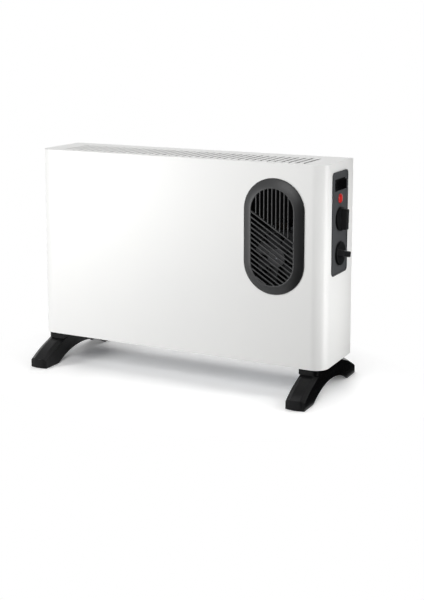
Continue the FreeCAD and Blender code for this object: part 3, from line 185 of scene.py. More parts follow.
# Inner side of the same sheet: a thin primer, painted near-black as the shade inside the casing, which keeps
# it dark behind the slots.
primer_and_painted_shade = grained_finish("primer_with_painted_shade", "18191a", "202122", roughness=(0.55, 0.7),
                             grain_mm=2.0, depth_mm=0.02, cloud_mm=60, specular=0.2)

# ABS moulded in a spark-eroded tool: a fine dull texture, drawn at 1.2 mm instead of 0.3 mm.
black_abs = grained_finish("moulded_abs_black", "0f1011", "131415", roughness=(0.42, 0.52),
                           grain_mm=1.2, depth_mm=0.03, specular=0.12)

# The same ABS with a coarser, chalky texture: the control panel looks charcoal beside its black knobs.
panel_abs = grained_finish("coarse_abs_charcoal", "424345", "4a4b4d", roughness=(0.5, 0.6),
                           grain_mm=1.6, depth_mm=0.04, specular=0.12)

# ABS of the grille, glossier than the knobs: its slopes show as clear steps from grey to black.
grille_abs = grained_finish("spark_textured_abs_black", "0f1011", "141516", roughness=(0.42, 0.50),
                            grain_mm=1.2, depth_mm=0.03, specular=0.5)

# Polypropylene from a smooth tool: a deeper black than the ABS, with a soft gloss on its round shoulders.
black_feet = grained_finish("moulded_polypropylene_black", "0a0a0b", "0e0e0f", roughness=(0.22, 0.30),
                            grain_mm=1.6, depth_mm=0.03, specular=0.15)

# Polished ABS of the rocker key: a smooth, deep black with only faint waves.
gloss_black = grained_finish("polished_abs_black", "070708", "0a0a0b", roughness=(0.22, 0.30),
                             grain_mm=6.0, depth_mm=0.01, specular=0.12)

# Polycarbonate lens: bright red with a polished skin that keeps a sharp highlight.
red_lens = grained_finish("polished_polycarbonate_red", "b02220", "cc2c29", roughness=(0.16, 0.22),
                          grain_mm=4.0, depth_mm=0.01, specular=0.3)

# Zinc-plated mild steel: a pale grey metal with a faint spangle.
zinc_plate = metal_finish("zinc_plated_steel", "9a9da1", "bfc2c6", roughness=(0.28, 0.46),
                          streak_mm=5.0, depth_mm=0.01)

# Screws inside the grille, painted near-black as the shade around them: dull, so that none of them glints
# between the bars.
inner_screws_painted_shade = metal_finish("screw_steel_painted_shade", "17181a", "222426", roughness=(0.5, 0.65),
                           streak_mm=4.0, depth_mm=0.01)

# Punched electrical sheet, stacked: the sheets' edges follow each other as fine lines along the motor.
lamination = metal_finish("laminated_electrical_steel", "5c5e62", "7d8084", roughness=(0.35, 0.55),
                          streak_mm=0.8, depth_mm=0.05, stretch=(0.05, 1, 0.05))

# Copper wire under a baking varnish, painted brown-black as shade so that the coil stays dark behind the
# grille: turns side by side.
copper_in_painted_shade = metal_finish("varnished_copper_painted_shade", "0d0a08", "130f0c", roughness=(0.4, 0.55),
                           streak_mm=0.8, depth_mm=0.1, stretch=(0.05, 0.05, 1))

# Iron-chromium ribbon, rolled and fired: dull brown-grey with length-wise streaks.
heat_ribbon = metal_finish("fired_resistance_ribbon", "5a544f", "7b746d", roughness=(0.4, 0.6),
                           streak_mm=2.0, depth_mm=0.01, stretch=(0.1, 1, 1))

# Pressed mica board: speckled grey-brown flakes.
mica_flake = grained_finish("pressed_mica_board", "8b8072", "b3a794", roughness=(0.35, 0.6),
                            grain_mm=1.5, depth_mm=0.05, cloud_mm=3)

# Glass-filled nylon of the fan and switches: a plain dark grey with a matt skin.
grey_nylon = grained_finish("moulded_nylon_grey", "202123", "28292b", roughness=(0.5, 0.62),
                            grain_mm=1.0, depth_mm=0.03)

# Steatite and urea parts of the wiring: an even off-white.
white_ceramic = grained_finish("fired_steatite_white", "dedcd4", "e9e7e0", roughness=(0.3, 0.45),
                               grain_mm=1.0, depth_mm=0.02)

FINISH_OF_SLOT = {
    "white_steel": white_coat, "black_plastic": black_abs, "black_rocker": gloss_black,
    "red_lens": red_lens, "zinc_steel": zinc_plate, "stack_steel": lamination, "copper_coil": copper_in_painted_shade,
    "mica": mica_flake, "ribbon_alloy": heat_ribbon, "grey_plastic": grey_nylon,
    "white_plastic": white_ceramic}
SLOT_OF_NODE = {part["node"]: part["material_slot"] for part in frame["record"]["subparts"]}
MEMBERS_OF_BODY = frame["record"]["behaviour"]["bodies"]
BODY_OF_NODE = {node: body for body, members in MEMBERS_OF_BODY.items() for node in members}

FINISH_OF_NODE = {node: FINISH_OF_SLOT[slot] for node, slot in SLOT_OF_NODE.items()}
# The screws inside the grille take the near-black painted shade instead of their slot's finish.
FINISH_OF_NODE.update(grille_screws=inner_screws_painted_shade, motor_screws=inner_screws_painted_shade, right_foot=black_feet,
                      left_foot=black_feet, fan_grille=grille_abs, control_panel=panel_abs)


def dress(piece, node):
    """Gives a piece its node's finish and no other."""
    piece.data.materials.clear()
    piece.data.materials.append(FINISH_OF_NODE[node])


for node, piece in cad_nodes.items():
    dress(piece, node)


# Pieces that keep the CAD shape, with the soft edges of the real ones

SAME_POINT = 0.002 * MM
FLAT_TURN, SHARP_TURN, SQUARE_TURN = math.radians(0.5), math.radians(28), math.radians(60)
wall_low, wall_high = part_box("front_casing")
casing_middle = (wall_low + wall_high) / 2


def stand_for(piece, node):
    """Puts a finished piece in a CAD node's place."""
    dress(piece, node)
    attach(piece, BODY_OF_NODE[node])
    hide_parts(node)


def merged_copy(node):
    """A CAD node's triangles in a form of their own, with their corners joined."""
    form = bmesh.new()
    form.from_mesh(cad_nodes[node].data)
    bmesh.ops.remove_doubles(form, verts=form.verts, dist=SAME_POINT)
    return form


def joined_faces(node):
    """A CAD node's solid with its triangles joined to whole faces."""
    form = merged_copy(node)
    bmesh.ops.dissolve_limit(form, angle_limit=FLAT_TURN, verts=form.verts, edges=form.edges)
    return form


def rounded(form, node, name, edge_mm, chosen_by="ANGLE", rounds=3):
    """The form as a piece in its node's place, with the chosen edges rounded."""
    piece = link_mesh(name, mesh_from(form, name, smooth=True))
    edge = piece.modifiers.new("rounded_edge", "BEVEL")
    edge.width, edge.segments, edge.limit_method = edge_mm * MM, rounds, chosen_by
    edge.angle_limit = SHARP_TURN
    piece.modifiers.new("even_normals", "WEIGHTED_NORMAL")
    stand_for(piece, node)
    return piece


def softened(node, name, edge_mm, rounds=3):
    """A copy of a CAD node's solid with its sharp edges rounded."""
    return rounded(joined_faces(node), node, name, edge_mm, rounds=rounds)


LOOKS_IN = 0.1


def shade_inside_with_primer(piece, inward=None):
    """Gives the faces that look into the casing their primer, near-black as painted shade; a flat sheet has
    one way that is inward.
    """
    piece.data.materials.append(primer_and_painted_shade)
    for face in piece.data.polygons:
        way_in = Vector(inward) if inward else casing_middle - face.center
        if face.normal.dot(way_in.normalized()) > LOOKS_IN:
            face.material_index = 1


ON_FACE_MM, WALL_LEAN = 0.05, 0.5


def pressed_slots(node, across, inner_face, field, push_mm=(0, 0, 0), narrow_mm=0.0):
    """A slotted sheet whose slots are pushed aside and narrowed at their inner rims, as by a press.

    across is the axis through the sheet, and field the range in mm on each other axis that holds the slots.
    """
    form = joined_faces(node)
    form.normal_update()
    shifts = []
    for vert in form.verts:
        in_field = all(low < vert.co[axis] / MM < high for axis, (low, high) in field.items())
        if in_field and abs(vert.co[across] - inner_face) < ON_FACE_MM * MM:
            walls = [face.normal for face in vert.link_faces if abs(face.normal[across]) < WALL_LEAN]
            inwards = sum(walls, Vector()).normalized()
            shifts.append((vert, (Vector(push_mm) + inwards * narrow_mm) * MM))
    for vert, shift in shifts:
        vert.co += shift
    return form


SHEET, SLOT_MARGIN = 0.8, 29
SLOTS_X = wall_low.x / MM + SLOT_MARGIN, wall_high.x / MM - SLOT_MARGIN
TOP_SLOTS_Y, BACK_SLOTS_Z = (-47, 30), (119, 211)
# Faces that look into the casing get the primer's near-black painted shade.
shade_inside_with_primer(softened("front_casing", "casing_wrap", edge_mm=0.35))
shade_inside_with_primer(softened("base_plate", "base_tray", edge_mm=0.3), (0, 0, 1))
top_sheet = pressed_slots("top_panel", Z, wall_high.z - SHEET * MM, {X: SLOTS_X, Y: TOP_SLOTS_Y},
                          narrow_mm=0.5)
shade_inside_with_primer(rounded(top_sheet, "top_panel", "slotted_top", edge_mm=0.4), (0, 0, -1))
back_sheet = pressed_slots("back_panel", Y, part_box("back_panel")[0].y, {X: SLOTS_X, Z: BACK_SLOTS_Z},
                           push_mm=(-5, -5, 0))
shade_inside_with_primer(rounded(back_sheet, "back_panel", "slotted_back", edge_mm=0.3), (0, -1, 0))
softened("control_panel", "control_fascia", edge_mm=0.6)
softened("selector_knob", "selector_grip", edge_mm=0.7)
softened("thermostat_knob", "thermostat_grip", edge_mm=0.7)
softened("fan_rocker", "fan_key", edge_mm=0.4, rounds=2)
softened("cord_bush", "lead_gland", edge_mm=0.8)


# Feet: the CAD solid with a flatter arch, a slimmer inner side and crowned limbs with round shoulders

# Sizes in mm. The limbs start at the collar's face, and their chamfers get wider from LIMB_CHAMFER
# to CROWN_SIDE; SHOULDER rounds the chamfers' edges and MOULDED_EDGE the square ones.
FOOT_WIDTH = 32.5
ARCH_REACH, ARCH_RISE, FLAT_RISE = 75.5, 25.0, 21.0
COLLAR_FACE, LIMB_CHAMFER, CROWN_SIDE = 60.9, 4.2, 8.0
SHOULDER, MOULDED_EDGE = 4.2, 0.5
NEARLY = 0.1


def moulded_foot(node, name):
    """A foot whose outer side stays where it is, with wider, rounded chamfers and eased edges."""
    form = joined_faces(node)
    low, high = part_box(node)
    outer, inner = (high.x, low.x) if high.x > 0 else (low.x, high.x)
    slimmer = FOOT_WIDTH * MM / abs(outer - inner)
    for vert in form.verts:
        vert.co.x = outer + (vert.co.x - outer) * slimmer
        if abs(vert.co.y) < ARCH_REACH * MM and vert.co.z < (ARCH_RISE + NEARLY) * MM:
            vert.co.z *= FLAT_RISE / ARCH_RISE
    form.normal_update()
    softness = form.edges.layers.float.new("bevel_weight_edge")
    for edge in form.edges:
        turn = edge.calc_face_angle(0)
        if turn > SHARP_TURN:
            edge[softness] = 1.0 if turn < SQUARE_TURN else MOULDED_EDGE / SHOULDER
    half = FOOT_WIDTH * MM / 2
    middle = outer + math.copysign(half, inner - outer)
    chamfer_line = half - LIMB_CHAMFER * MM * slimmer
    for vert in form.verts:
        aside = vert.co.x - middle
        if abs(vert.co.y) > COLLAR_FACE * MM and abs(abs(aside) - chamfer_line) < NEARLY * MM:
            vert.co.x = middle + math.copysign(half - CROWN_SIDE * MM, aside)
    form.normal_update()
    rounded(form, node, name, SHOULDER, chosen_by="WEIGHT", rounds=4)


moulded_foot("right_foot", "right_foot_moulding")
moulded_foot("left_foot", "left_foot_moulding")


# Pilot lamp: a lens with a dome on a short plain collar

def lathe(name, contour, axis_start, turns=48):
    """A closed shape turned about the X axis through axis_start, from (along, radius) points in mm."""
    form = bmesh.new()
    angles = [2 * math.pi * i / turns for i in range(turns)]
    rings = []
    for along, radius in contour:
        spots = [Vector((along, radius * math.cos(a), radius * math.sin(a))) * MM for a in angles]
        rings.append([form.verts.new(axis_start + spot) for spot in spots])
    for lower, upper in zip(rings, rings[1:]):
        join_rings(form, lower, upper)
    form.faces.new(rings[0])
    form.faces.new(rings[-1])
    bmesh.ops.recalc_face_normals(form, faces=form.faces)
    return link_mesh(name, mesh_from(form, name, smooth=True))


# The dome in mm: an oval fuller than an ellipse, whose last ring is a small flat tip.
LENS_FOOT, LENS_COLLAR, LENS_DOME = 0.6, 0.8, 2.4
DOME_STEPS, DOME_GIRTH, DOME_FULLNESS, TIP_RADIUS = 11, 0.98, 0.8, 0.05
lens_low, lens_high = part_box("pilot_lens")
lens_axis = Vector((0, (lens_low.y + lens_high.y) / 2, (lens_low.z + lens_high.z) / 2))
lens_radius = (lens_high.z - lens_low.z) / 2 / MM
lens_seat = lens_high.x / MM - LENS_COLLAR - LENS_DOME
lens_contour = [(lens_seat - LENS_FOOT, lens_radius), (lens_seat, lens_radius)]
for step in range(1, DOME_STEPS + 1):
    tilt = step / DOME_STEPS * math.pi / 2
    lens_contour.append((lens_seat + LENS_COLLAR + LENS_DOME * math.sin(tilt),
                         lens_radius * DOME_GIRTH * math.cos(tilt) ** DOME_FULLNESS + TIP_RADIUS))
stand_for(lathe("pilot_lens_dome", lens_contour, lens_axis), "pilot_lens")


# Pieces that geometry trees repeat

def grown(name, base_mesh, tree, sockets, **inputs):
    """The plain mesh that a geometry tree makes from a base mesh and its named inputs."""
    seed = link_mesh(name + "_seed", base_mesh)
    maker = seed.modifiers.new("maker", "NODES")
    maker.node_group = tree
    for label, value in inputs.items():
        maker[sockets[label]] = value
    graph = bpy.context.evaluated_depsgraph_get()
    mesh = bpy.data.meshes.new_from_object(seed.evaluated_get(graph), depsgraph=graph)
    mesh.name = name
    seed.modifiers.remove(maker)
    bpy.data.objects.remove(seed)
    return mesh


def start_tree(name, inputs):
    """A geometry tree with named inputs: the tree, its input sockets and their identifiers."""
    tree = bpy.data.node_groups.new(name, "GeometryNodeTree")
    sockets = {}
    for label, kind in inputs:
        item = tree.interface.new_socket(label, in_out="INPUT", socket_type="NodeSocket" + kind)
        sockets[label] = item.identifier
    tree.interface.new_socket("Pieces", in_out="OUTPUT", socket_type="NodeSocketGeometry")
    return tree, add(tree, "NodeGroupInput").outputs, sockets


def end_tree(tree, instances, finish):
    """Makes the copies real, gives them their finish and puts them out."""
    real = add(tree, "GeometryNodeRealizeInstances", links={"Geometry": instances})
    dressed = add(tree, "GeometryNodeSetMaterial", links={
        "Geometry": real.outputs["Geometry"], "Material": finish})
    add(tree, "NodeGroupOutput", links={"Pieces": dressed.outputs["Geometry"]})


# Screws of the back and the feet: pan heads with a cross recess

# The head's height, and shares: how much of a dome it is, and the cross and the shank by its radius.
SCREW_HEAD, HEAD_TAPER = 2.2 * MM, 0.85
CROSS_LENGTH, CROSS_WIDTH, SHANK_SHARE = 1.1, 0.3, 0.5
HEAD_LEVELS, HEAD_SIDES, SHANK_SIDES = 7, 24, 16
SCREW_CREASE = math.radians(35)


def screw_tree():
    """A screw at each point: a domed head along Z, a cross cut into it, and a shank behind it."""
    tree, given, sockets = start_tree("cross_screws", (
        ("Seats", "Geometry"), ("Radius", "Float"), ("Height", "Float"), ("Shank", "Float"),
        ("Length", "Float"), ("Turn", "Vector"), ("Finish", "Material")))
    tip = add(tree, "ShaderNodeCombineXYZ", links={"Z": given["Height"]}).outputs["Vector"]
    axis = add(tree, "GeometryNodeCurvePrimitiveLine", links={"End": tip})
    levels = add(tree, "GeometryNodeResampleCurve", {"Count": HEAD_LEVELS}, {"Curve": axis.outputs["Curve"]})
    share = add(tree, "GeometryNodeSplineParameter").outputs["Factor"]
    squared = maths(tree, "POWER", maths(tree, "MULTIPLY", share, HEAD_TAPER), 2.0)
    girth = maths(tree, "SQRT", maths(tree, "SUBTRACT", 1.0, squared))
    ring = add(tree, "GeometryNodeCurvePrimitiveCircle", {"Resolution": HEAD_SIDES}, {
        "Radius": given["Radius"]})
    head = add(tree, "GeometryNodeCurveToMesh", {"Fill Caps": True}, {
        "Curve": levels.outputs["Curve"], "Profile Curve": ring.outputs["Curve"], "Scale": girth})
    long_side = maths(tree, "MULTIPLY", given["Radius"], CROSS_LENGTH)
    short_side = maths(tree, "MULTIPLY", given["Radius"], CROSS_WIDTH)
    for long_way, short_way in (("X", "Y"), ("Y", "X")):
        size = add(tree, "ShaderNodeCombineXYZ", links={
            long_way: long_side, short_way: short_side, "Z": given["Height"]})
        slot = add(tree, "GeometryNodeMeshCube", links={"Size": size.outputs["Vector"]})
        raised = add(tree, "GeometryNodeTransform", links={
            "Geometry": slot.outputs["Mesh"], "Translation": tip})
        head = add(tree, "GeometryNodeMeshBoolean", links={
            "Mesh 1": head.outputs["Mesh"], "Mesh 2": raised.outputs["Geometry"]}, operation="DIFFERENCE")
    shank = add(tree, "GeometryNodeMeshCylinder", {"Vertices": SHANK_SIDES}, {
        "Radius": given["Shank"], "Depth": given["Length"]})
    half_behind = maths(tree, "MULTIPLY", given["Length"], -0.5)
    behind = add(tree, "ShaderNodeCombineXYZ", links={"Z": half_behind})
    sunk = add(tree, "GeometryNodeTransform", links={
        "Geometry": shank.outputs["Mesh"], "Translation": behind.outputs["Vector"]})
    whole = add(tree, "GeometryNodeJoinGeometry")
    for part in (sunk.outputs["Geometry"], head.outputs["Mesh"]):
        tree.links.new(part, whole.inputs["Geometry"])
    screws = add(tree, "GeometryNodeInstanceOnPoints", links={
        "Points": given["Seats"], "Instance": whole.outputs["Geometry"], "Rotation": given["Turn"]})
    end_tree(tree, screws.outputs["Instances"], given["Finish"])
    return tree, sockets


def solid_boxes(node):
    """The (low, high) corners of each separate solid in a CAD node."""
    form = merged_copy(node)
    boxes, seen = [], set()
    for first in form.verts:
        if first in seen:
            continue
        seen.add(first)
        reached = [first]
        for vert in reached:
            fresh = [edge.other_vert(vert) for edge in vert.link_edges if edge.other_vert(vert) not in seen]
            seen.update(fresh)
            reached.extend(fresh)
        spots = [vert.co for vert in reached]
        boxes.append([Vector([pick(s[axis] for s in spots) for axis in (X, Y, Z)]) for pick in (min, max)])
    form.free()
    return boxes


screw_maker, screw_sockets = screw_tree()
for node, name, axis, outward, turn in (
        ("back_screws", "back_cross_screws", Y, 1, (-math.pi / 2, 0, 0)),
        ("foot_screws", "foot_cross_screws", Z, -1, (math.pi, 0, 0))):
    seats = []
    for low, high in solid_boxes(node):
        seat = (low + high) / 2
        seat[axis] = high[axis] - SCREW_HEAD if outward > 0 else low[axis] + SCREW_HEAD
        seats.append(seat)
    radius = (high.x - low.x) / 2
    seat_mesh = bpy.data.meshes.new(name + "_seats")
    seat_mesh.from_pydata(seats, [], [])
    screws = grown(name, seat_mesh, screw_maker, screw_sockets, Radius=radius, Height=SCREW_HEAD,
                   Shank=radius * SHANK_SHARE, Length=high[axis] - low[axis] - SCREW_HEAD,
                   Turn=turn, Finish=zinc_plate)
    screws.shade_smooth()
    screws.set_sharp_from_angle(angle=SCREW_CREASE)
    stand_for(link_mesh(name, screws), node)


# Fan grille: a raised oval rim, filled with two crossing fields of bars

# Sizes in mm, as in the CAD's grille; only the bars are 0.4 mm slimmer.
GRILLE_BEVEL, GRILLE_RISE, GRILLE_PLATE = 14.0, 8.6, 2.4
GRILLE_BORDER = 2.0
BAR_PITCH, BAR_WIDTH = 7.0, 2.3
DIVIDER_LIFT, DIVIDER_WIDTH, DIVIDER_TILT = 17.0, 4.6, math.radians(32)
grille_low, grille_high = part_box("fan_grille")
grille_middle = (grille_low + grille_high) / 2
grille_centre = Vector((grille_middle.x, wall_low.y, grille_middle.z))
half_width = (grille_high.x - grille_low.x) / 2 / MM
half_height = (grille_high.z - grille_low.z) / 2 / MM
rim_inside = GRILLE_BEVEL + GRILLE_BORDER


def oval_loop(inset, lift, turns=96):
    """Points of the grille's oval, that far inside its outline and in front of the casing, in mm."""
    radius, straight = half_width - inset, half_height - half_width
    points = []
    for i in range(turns):
        a = 2 * math.pi * (i + 0.5) / turns
        rise = straight if math.sin(a) > 0 else -straight
        spot = Vector((radius * math.cos(a), -lift, radius * math.sin(a) + rise))
        points.append(grille_centre + spot * MM)
    return points


def oval_band(form, profile, closed):
    """Faces between ovals of a profile of (inset, lift) points."""
    loops = [[form.verts.new(p) for p in oval_loop(*point)] for point in profile]
    pairs = list(zip(loops, loops[1:])) + ([(loops[-1], loops[0])] if closed else [])
    for lower, upper in pairs:
        join_rings(form, lower, upper)


# The rim's section as (inset, lift) points in mm: an eased outer edge, a bowed slope, a soft crest,
# an eased inner edge, and then the underside back to the casing.
RIM_EDGE, RIM_SHOULDER, RIM_BOW, RIM_STEPS = 0.5, 1.85, 0.7, 8
CREST_DROP = 0.2
slope_run = GRILLE_BEVEL - 2 * RIM_EDGE
slope_rise = GRILLE_RISE - RIM_SHOULDER - CREST_DROP
rim_profile = [(0.0, 0.0), (0.0, 1.1), (0.15, 1.5), (RIM_EDGE, RIM_SHOULDER)]
for step in range(1, RIM_STEPS):
    share = step / RIM_STEPS
    bow = RIM_BOW * math.sin(math.pi * share)
    rim_profile.append((RIM_EDGE + share * slope_run, RIM_SHOULDER + share * slope_rise + bow))
rim_profile += [(GRILLE_BEVEL + aside, GRILLE_RISE - drop)
                for aside, drop in ((-0.4, 0.18), (0.1, 0.03), (0.6, 0.0))]
rim_profile += [(rim_inside - aside, GRILLE_RISE - drop)
                for aside, drop in ((RIM_EDGE, 0.0), (0.15, 0.15), (0.0, RIM_EDGE), (0.0, GRILLE_PLATE))]
rim_profile += [(GRILLE_BEVEL, GRILLE_RISE - GRILLE_PLATE), (GRILLE_BEVEL, 0.0)]
rim_form = bmesh.new()
oval_band(rim_form, rim_profile, closed=True)
bmesh.ops.recalc_face_normals(rim_form, faces=rim_form.faces)
rim_mesh = mesh_from(rim_form, "grille_rim")

RAY_LENGTH, BAR_ROUNDS = 1.0, 3


def bar_tree():
    """Bars from wall to wall of an opening: a ray each way from each bar's start finds how long it is."""
    tree, given, sockets = start_tree("grille_bars", (
        ("Walls", "Geometry"), ("First", "Vector"), ("Step", "Vector"), ("Count", "Int"),
        ("Along", "Vector"), ("Tilt", "Float"), ("Width", "Float"), ("Depth", "Float"),
        ("Edge", "Float"), ("Bite", "Float"), ("Finish", "Material")))
    starts = add(tree, "GeometryNodeMeshLine", links={
        "Count": given["Count"], "Start Location": given["First"], "Offset": given["Step"]})
    back = add(tree, "ShaderNodeVectorMath", {"Scale": -1.0}, {0: given["Along"]}, operation="SCALE")
    here = add(tree, "GeometryNodeInputPosition").outputs["Position"]
    ahead_hit, back_hit = [
        add(tree, "GeometryNodeRaycast", {"Ray Length": RAY_LENGTH}, {
            "Target Geometry": given["Walls"], "Source Position": here, "Ray Direction": way}).outputs
        for way in (given["Along"], back.outputs["Vector"])]
    middle = add(tree, "ShaderNodeMix", {"Factor": 0.5}, {
        "A": ahead_hit["Hit Position"], "B": back_hit["Hit Position"]}, data_type="VECTOR")
    span = maths(tree, "ADD", ahead_hit["Hit Distance"], back_hit["Hit Distance"])
    length = maths(tree, "ADD", span, given["Bite"])
    scale = add(tree, "ShaderNodeCombineXYZ", {"Y": 1.0, "Z": 1.0}, {"X": length})
    held = add(tree, "GeometryNodeCaptureAttribute", domain="POINT")
    held.capture_items.new("VECTOR", "middle")
    held.capture_items.new("VECTOR", "scale")
    tree.links.new(starts.outputs["Mesh"], held.inputs["Geometry"])
    tree.links.new(middle.outputs["Result"], held.inputs["middle"])
    tree.links.new(scale.outputs["Vector"], held.inputs["scale"])
    moved = add(tree, "GeometryNodeSetPosition", links={
        "Geometry": held.outputs["Geometry"], "Position": held.outputs["middle"]})
    section = add(tree, "GeometryNodeCurvePrimitiveQuadrilateral", links={
        "Width": given["Width"], "Height": given["Depth"]})
    eased = add(tree, "GeometryNodeFilletCurve", {"Count": BAR_ROUNDS}, {
        "Curve": section.outputs["Curve"], "Radius": given["Edge"]}, mode="POLY")
    spine = add(tree, "GeometryNodeCurvePrimitiveLine", {"Start": (-0.5, 0, 0), "End": (0.5, 0, 0)})
    bar = add(tree, "GeometryNodeCurveToMesh", {"Fill Caps": True}, {
        "Curve": spine.outputs["Curve"], "Profile Curve": eased.outputs["Curve"]})
    turn = add(tree, "ShaderNodeCombineXYZ", links={"Y": given["Tilt"]})
    bars = add(tree, "GeometryNodeInstanceOnPoints", links={
        "Points": moved.outputs["Geometry"], "Instance": bar.outputs["Mesh"],
        "Rotation": turn.outputs["Vector"], "Scale": held.outputs["scale"]})
    end_tree(tree, bars.outputs["Instances"], given["Finish"])
    return tree, sockets


def grille_point(x, z):
    """A point in the middle of the bars' depth, x right of and z above the grille's centre, in mm."""
    return grille_centre + Vector((x, GRILLE_PLATE / 2 - GRILLE_RISE, z)) * MM


# Walls reach that far behind and in front of the casing, and the divider's sides past the oval, in mm.
WALLS_BEHIND, WALLS_AHEAD, DIVIDER_REACH = 5.0, 15.0, 60
divider_slope = math.tan(DIVIDER_TILT)
divider_half = DIVIDER_WIDTH / 2 / math.cos(DIVIDER_TILT)
down_across = Vector((-math.sin(DIVIDER_TILT), 0, -math.cos(DIVIDER_TILT)))
down_along = Vector((math.cos(DIVIDER_TILT), 0, -math.sin(DIVIDER_TILT)))


def opening_walls(name, with_divider):
    """The walls that bars run between: the oval's inside and, if asked for, the divider's two sides."""
    form = bmesh.new()
    oval_band(form, [(rim_inside, -WALLS_BEHIND), (rim_inside, WALLS_AHEAD)], closed=False)
    for side in (1, -1) if with_divider else ():
        edge_z = DIVIDER_LIFT + side * divider_half
        corners = []
        for x, y in ((-DIVIDER_REACH, WALLS_BEHIND), (DIVIDER_REACH, WALLS_BEHIND),
                     (DIVIDER_REACH, -WALLS_AHEAD), (-DIVIDER_REACH, -WALLS_AHEAD)):
            corners.append(grille_centre + Vector((x, y, edge_z - x * divider_slope)) * MM)
        form.faces.new([form.verts.new(corner) for corner in corners])
    return mesh_from(form, name)


# A bar's edges are eased, it runs into the walls at both ends, and the rays start clear of the divider.
BAR_EDGE, BAR_BITE, START_CLEAR = 0.7, 1.2, 0.2
GRILLE_CREASE = math.radians(40)
upper_walls = opening_walls("upper_field_walls", True)
open_walls = opening_walls("opening_walls", False)
bar_maker, bar_sockets = bar_tree()
bar_build = {"Depth": GRILLE_PLATE * MM, "Edge": BAR_EDGE * MM, "Bite": BAR_BITE * MM, "Finish": grille_abs}
opening_radius = half_width - rim_inside
upright_gaps = int(2 * opening_radius / BAR_PITCH)
first_x = -upright_gaps / 2 * BAR_PITCH + BAR_PITCH
starts_z = DIVIDER_LIFT + divider_half + START_CLEAR
uprights = grown(
    "upright_bars", upper_walls, bar_maker, bar_sockets, Count=upright_gaps - 1,
    First=grille_point(first_x, starts_z - first_x * divider_slope),
    Step=Vector((BAR_PITCH, 0, -BAR_PITCH * divider_slope)) * MM,
    Along=Vector((0, 0, 1)), Tilt=-math.pi / 2, Width=BAR_WIDTH * MM, **bar_build)
divider = grown(
    "divider_bar", open_walls, bar_maker, bar_sockets, Count=1, First=grille_point(0, DIVIDER_LIFT),
    Step=down_across * MM, Along=down_along, Tilt=DIVIDER_TILT, Width=DIVIDER_WIDTH * MM, **bar_build)
divider_spot = Vector((0, 0, DIVIDER_LIFT))
lowest = Vector((0, 0, half_width - half_height)) + down_across * opening_radius
field_depth = (lowest - divider_spot).dot(down_across)
field_run = (lowest - divider_spot) / field_depth
first_drop = DIVIDER_WIDTH / 2 + BAR_PITCH - BAR_WIDTH / 2
slant_count = int((field_depth - first_drop) / BAR_PITCH) + 1
first_slant = divider_spot + field_run * first_drop
slants = grown(
    "slanted_bars", open_walls, bar_maker, bar_sockets, Count=slant_count,
    First=grille_point(first_slant.x, first_slant.z), Step=field_run * BAR_PITCH * MM,
    Along=down_along, Tilt=DIVIDER_TILT, Width=BAR_WIDTH * MM, **bar_build)

grille_form = bmesh.new()
for mesh in (rim_mesh, uprights, divider, slants):
    grille_form.from_mesh(mesh)
grille_mesh = mesh_from(grille_form, "grille_moulding", smooth=True)
grille_mesh.set_sharp_from_angle(angle=GRILLE_CREASE)
stand_for(link_mesh("grille_moulding", grille_mesh), "fan_grille")


# Stage, light and camera

FLOOR_HALF, FLOOR_DROP = 6.0, 0.0004
floor_form = bmesh.new()
bmesh.ops.create_grid(floor_form, x_segments=1, y_segments=1, size=FLOOR_HALF)
floor = link_mesh("studio_floor", mesh_from(floor_form, "studio_floor"))
floor.location.z = -FLOOR_DROP
floor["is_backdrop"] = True


def seen_directly(tree):
    """1 for what the camera sees, also in a reflection or through glass, and 0 for light on the object."""
    path = add(tree, "ShaderNodeLightPath").outputs
    direct = maths(tree, "MAXIMUM", path["Is Camera Ray"], path["Is Glossy Ray"])
    return maths(tree, "MAXIMUM", direct, path["Is Transmission Ray"])


# Matt white paper: it takes the heater's shadow near by, and melts into the white background further out.
# Where it is seen it is bright, with a lift that keeps shadows open; on the heater it throws the light of
# grey paper.
NEAR_FLOOR, FADE_START, FADE_END = (0.33, 0.24), 0.75, 1.3
PAPER_GRAIN, PAPER_TOOTH = 4, 0.02
PAPER_THROWN, PAPER_SEEN, SHADOW_LIFT = linear("7d7d7d"), (1.25, 1.25, 1.25, 1.0), 0.04
WHITE = linear("ffffff")
paper = bpy.data.materials.new("matt_paper_white")
paper.use_nodes = True
tree = paper.node_tree
tree.nodes.clear()
place = add(tree, "ShaderNodeTexCoord").outputs["Object"]
oval = add(tree, "ShaderNodeMapping", {"Scale": (1 / NEAR_FLOOR[0], 1 / NEAR_FLOOR[1], 0.0)}, {
    "Vector": place})
reach = add(tree, "ShaderNodeVectorMath", links={0: oval.outputs["Vector"]}, operation="LENGTH")
far = add(tree, "ShaderNodeMapRange", {"From Min": FADE_START, "From Max": FADE_END}, {
    "Value": reach.outputs["Value"]}, interpolation_type="SMOOTHSTEP")
eye = seen_directly(tree)
tooth = add(tree, "ShaderNodeBump", {"Distance": PAPER_TOOTH * MM}, {
    "Height": noise(tree, place, PAPER_GRAIN, GRAIN_DETAIL)})
tone = add(tree, "ShaderNodeMix", {"A": PAPER_THROWN, "B": PAPER_SEEN}, {"Factor": eye}, data_type="RGBA")
matt = add(tree, "ShaderNodeBsdfDiffuse", links={
    "Color": tone.outputs["Result"], "Normal": tooth.outputs["Normal"]})
lift_near = add(tree, "ShaderNodeMapRange", {"To Min": 0.0, "To Max": SHADOW_LIFT}, {"Value": eye})
lift = add(tree, "ShaderNodeEmission", {"Color": WHITE}, {"Strength": lift_near.outputs["Result"]})
near = add(tree, "ShaderNodeAddShader", links={0: matt.outputs["BSDF"], 1: lift.outputs["Emission"]})
white = add(tree, "ShaderNodeEmission", {"Color": WHITE, "Strength": 1.0})
blend = add(tree, "ShaderNodeMixShader", links={
    0: maths(tree, "MULTIPLY", far.outputs["Result"], eye), 1: near.outputs["Shader"],
    2: white.outputs["Emission"]})
add(tree, "ShaderNodeOutputMaterial", links={"Surface": blend.outputs["Shader"]})
floor.data.materials.append(paper)

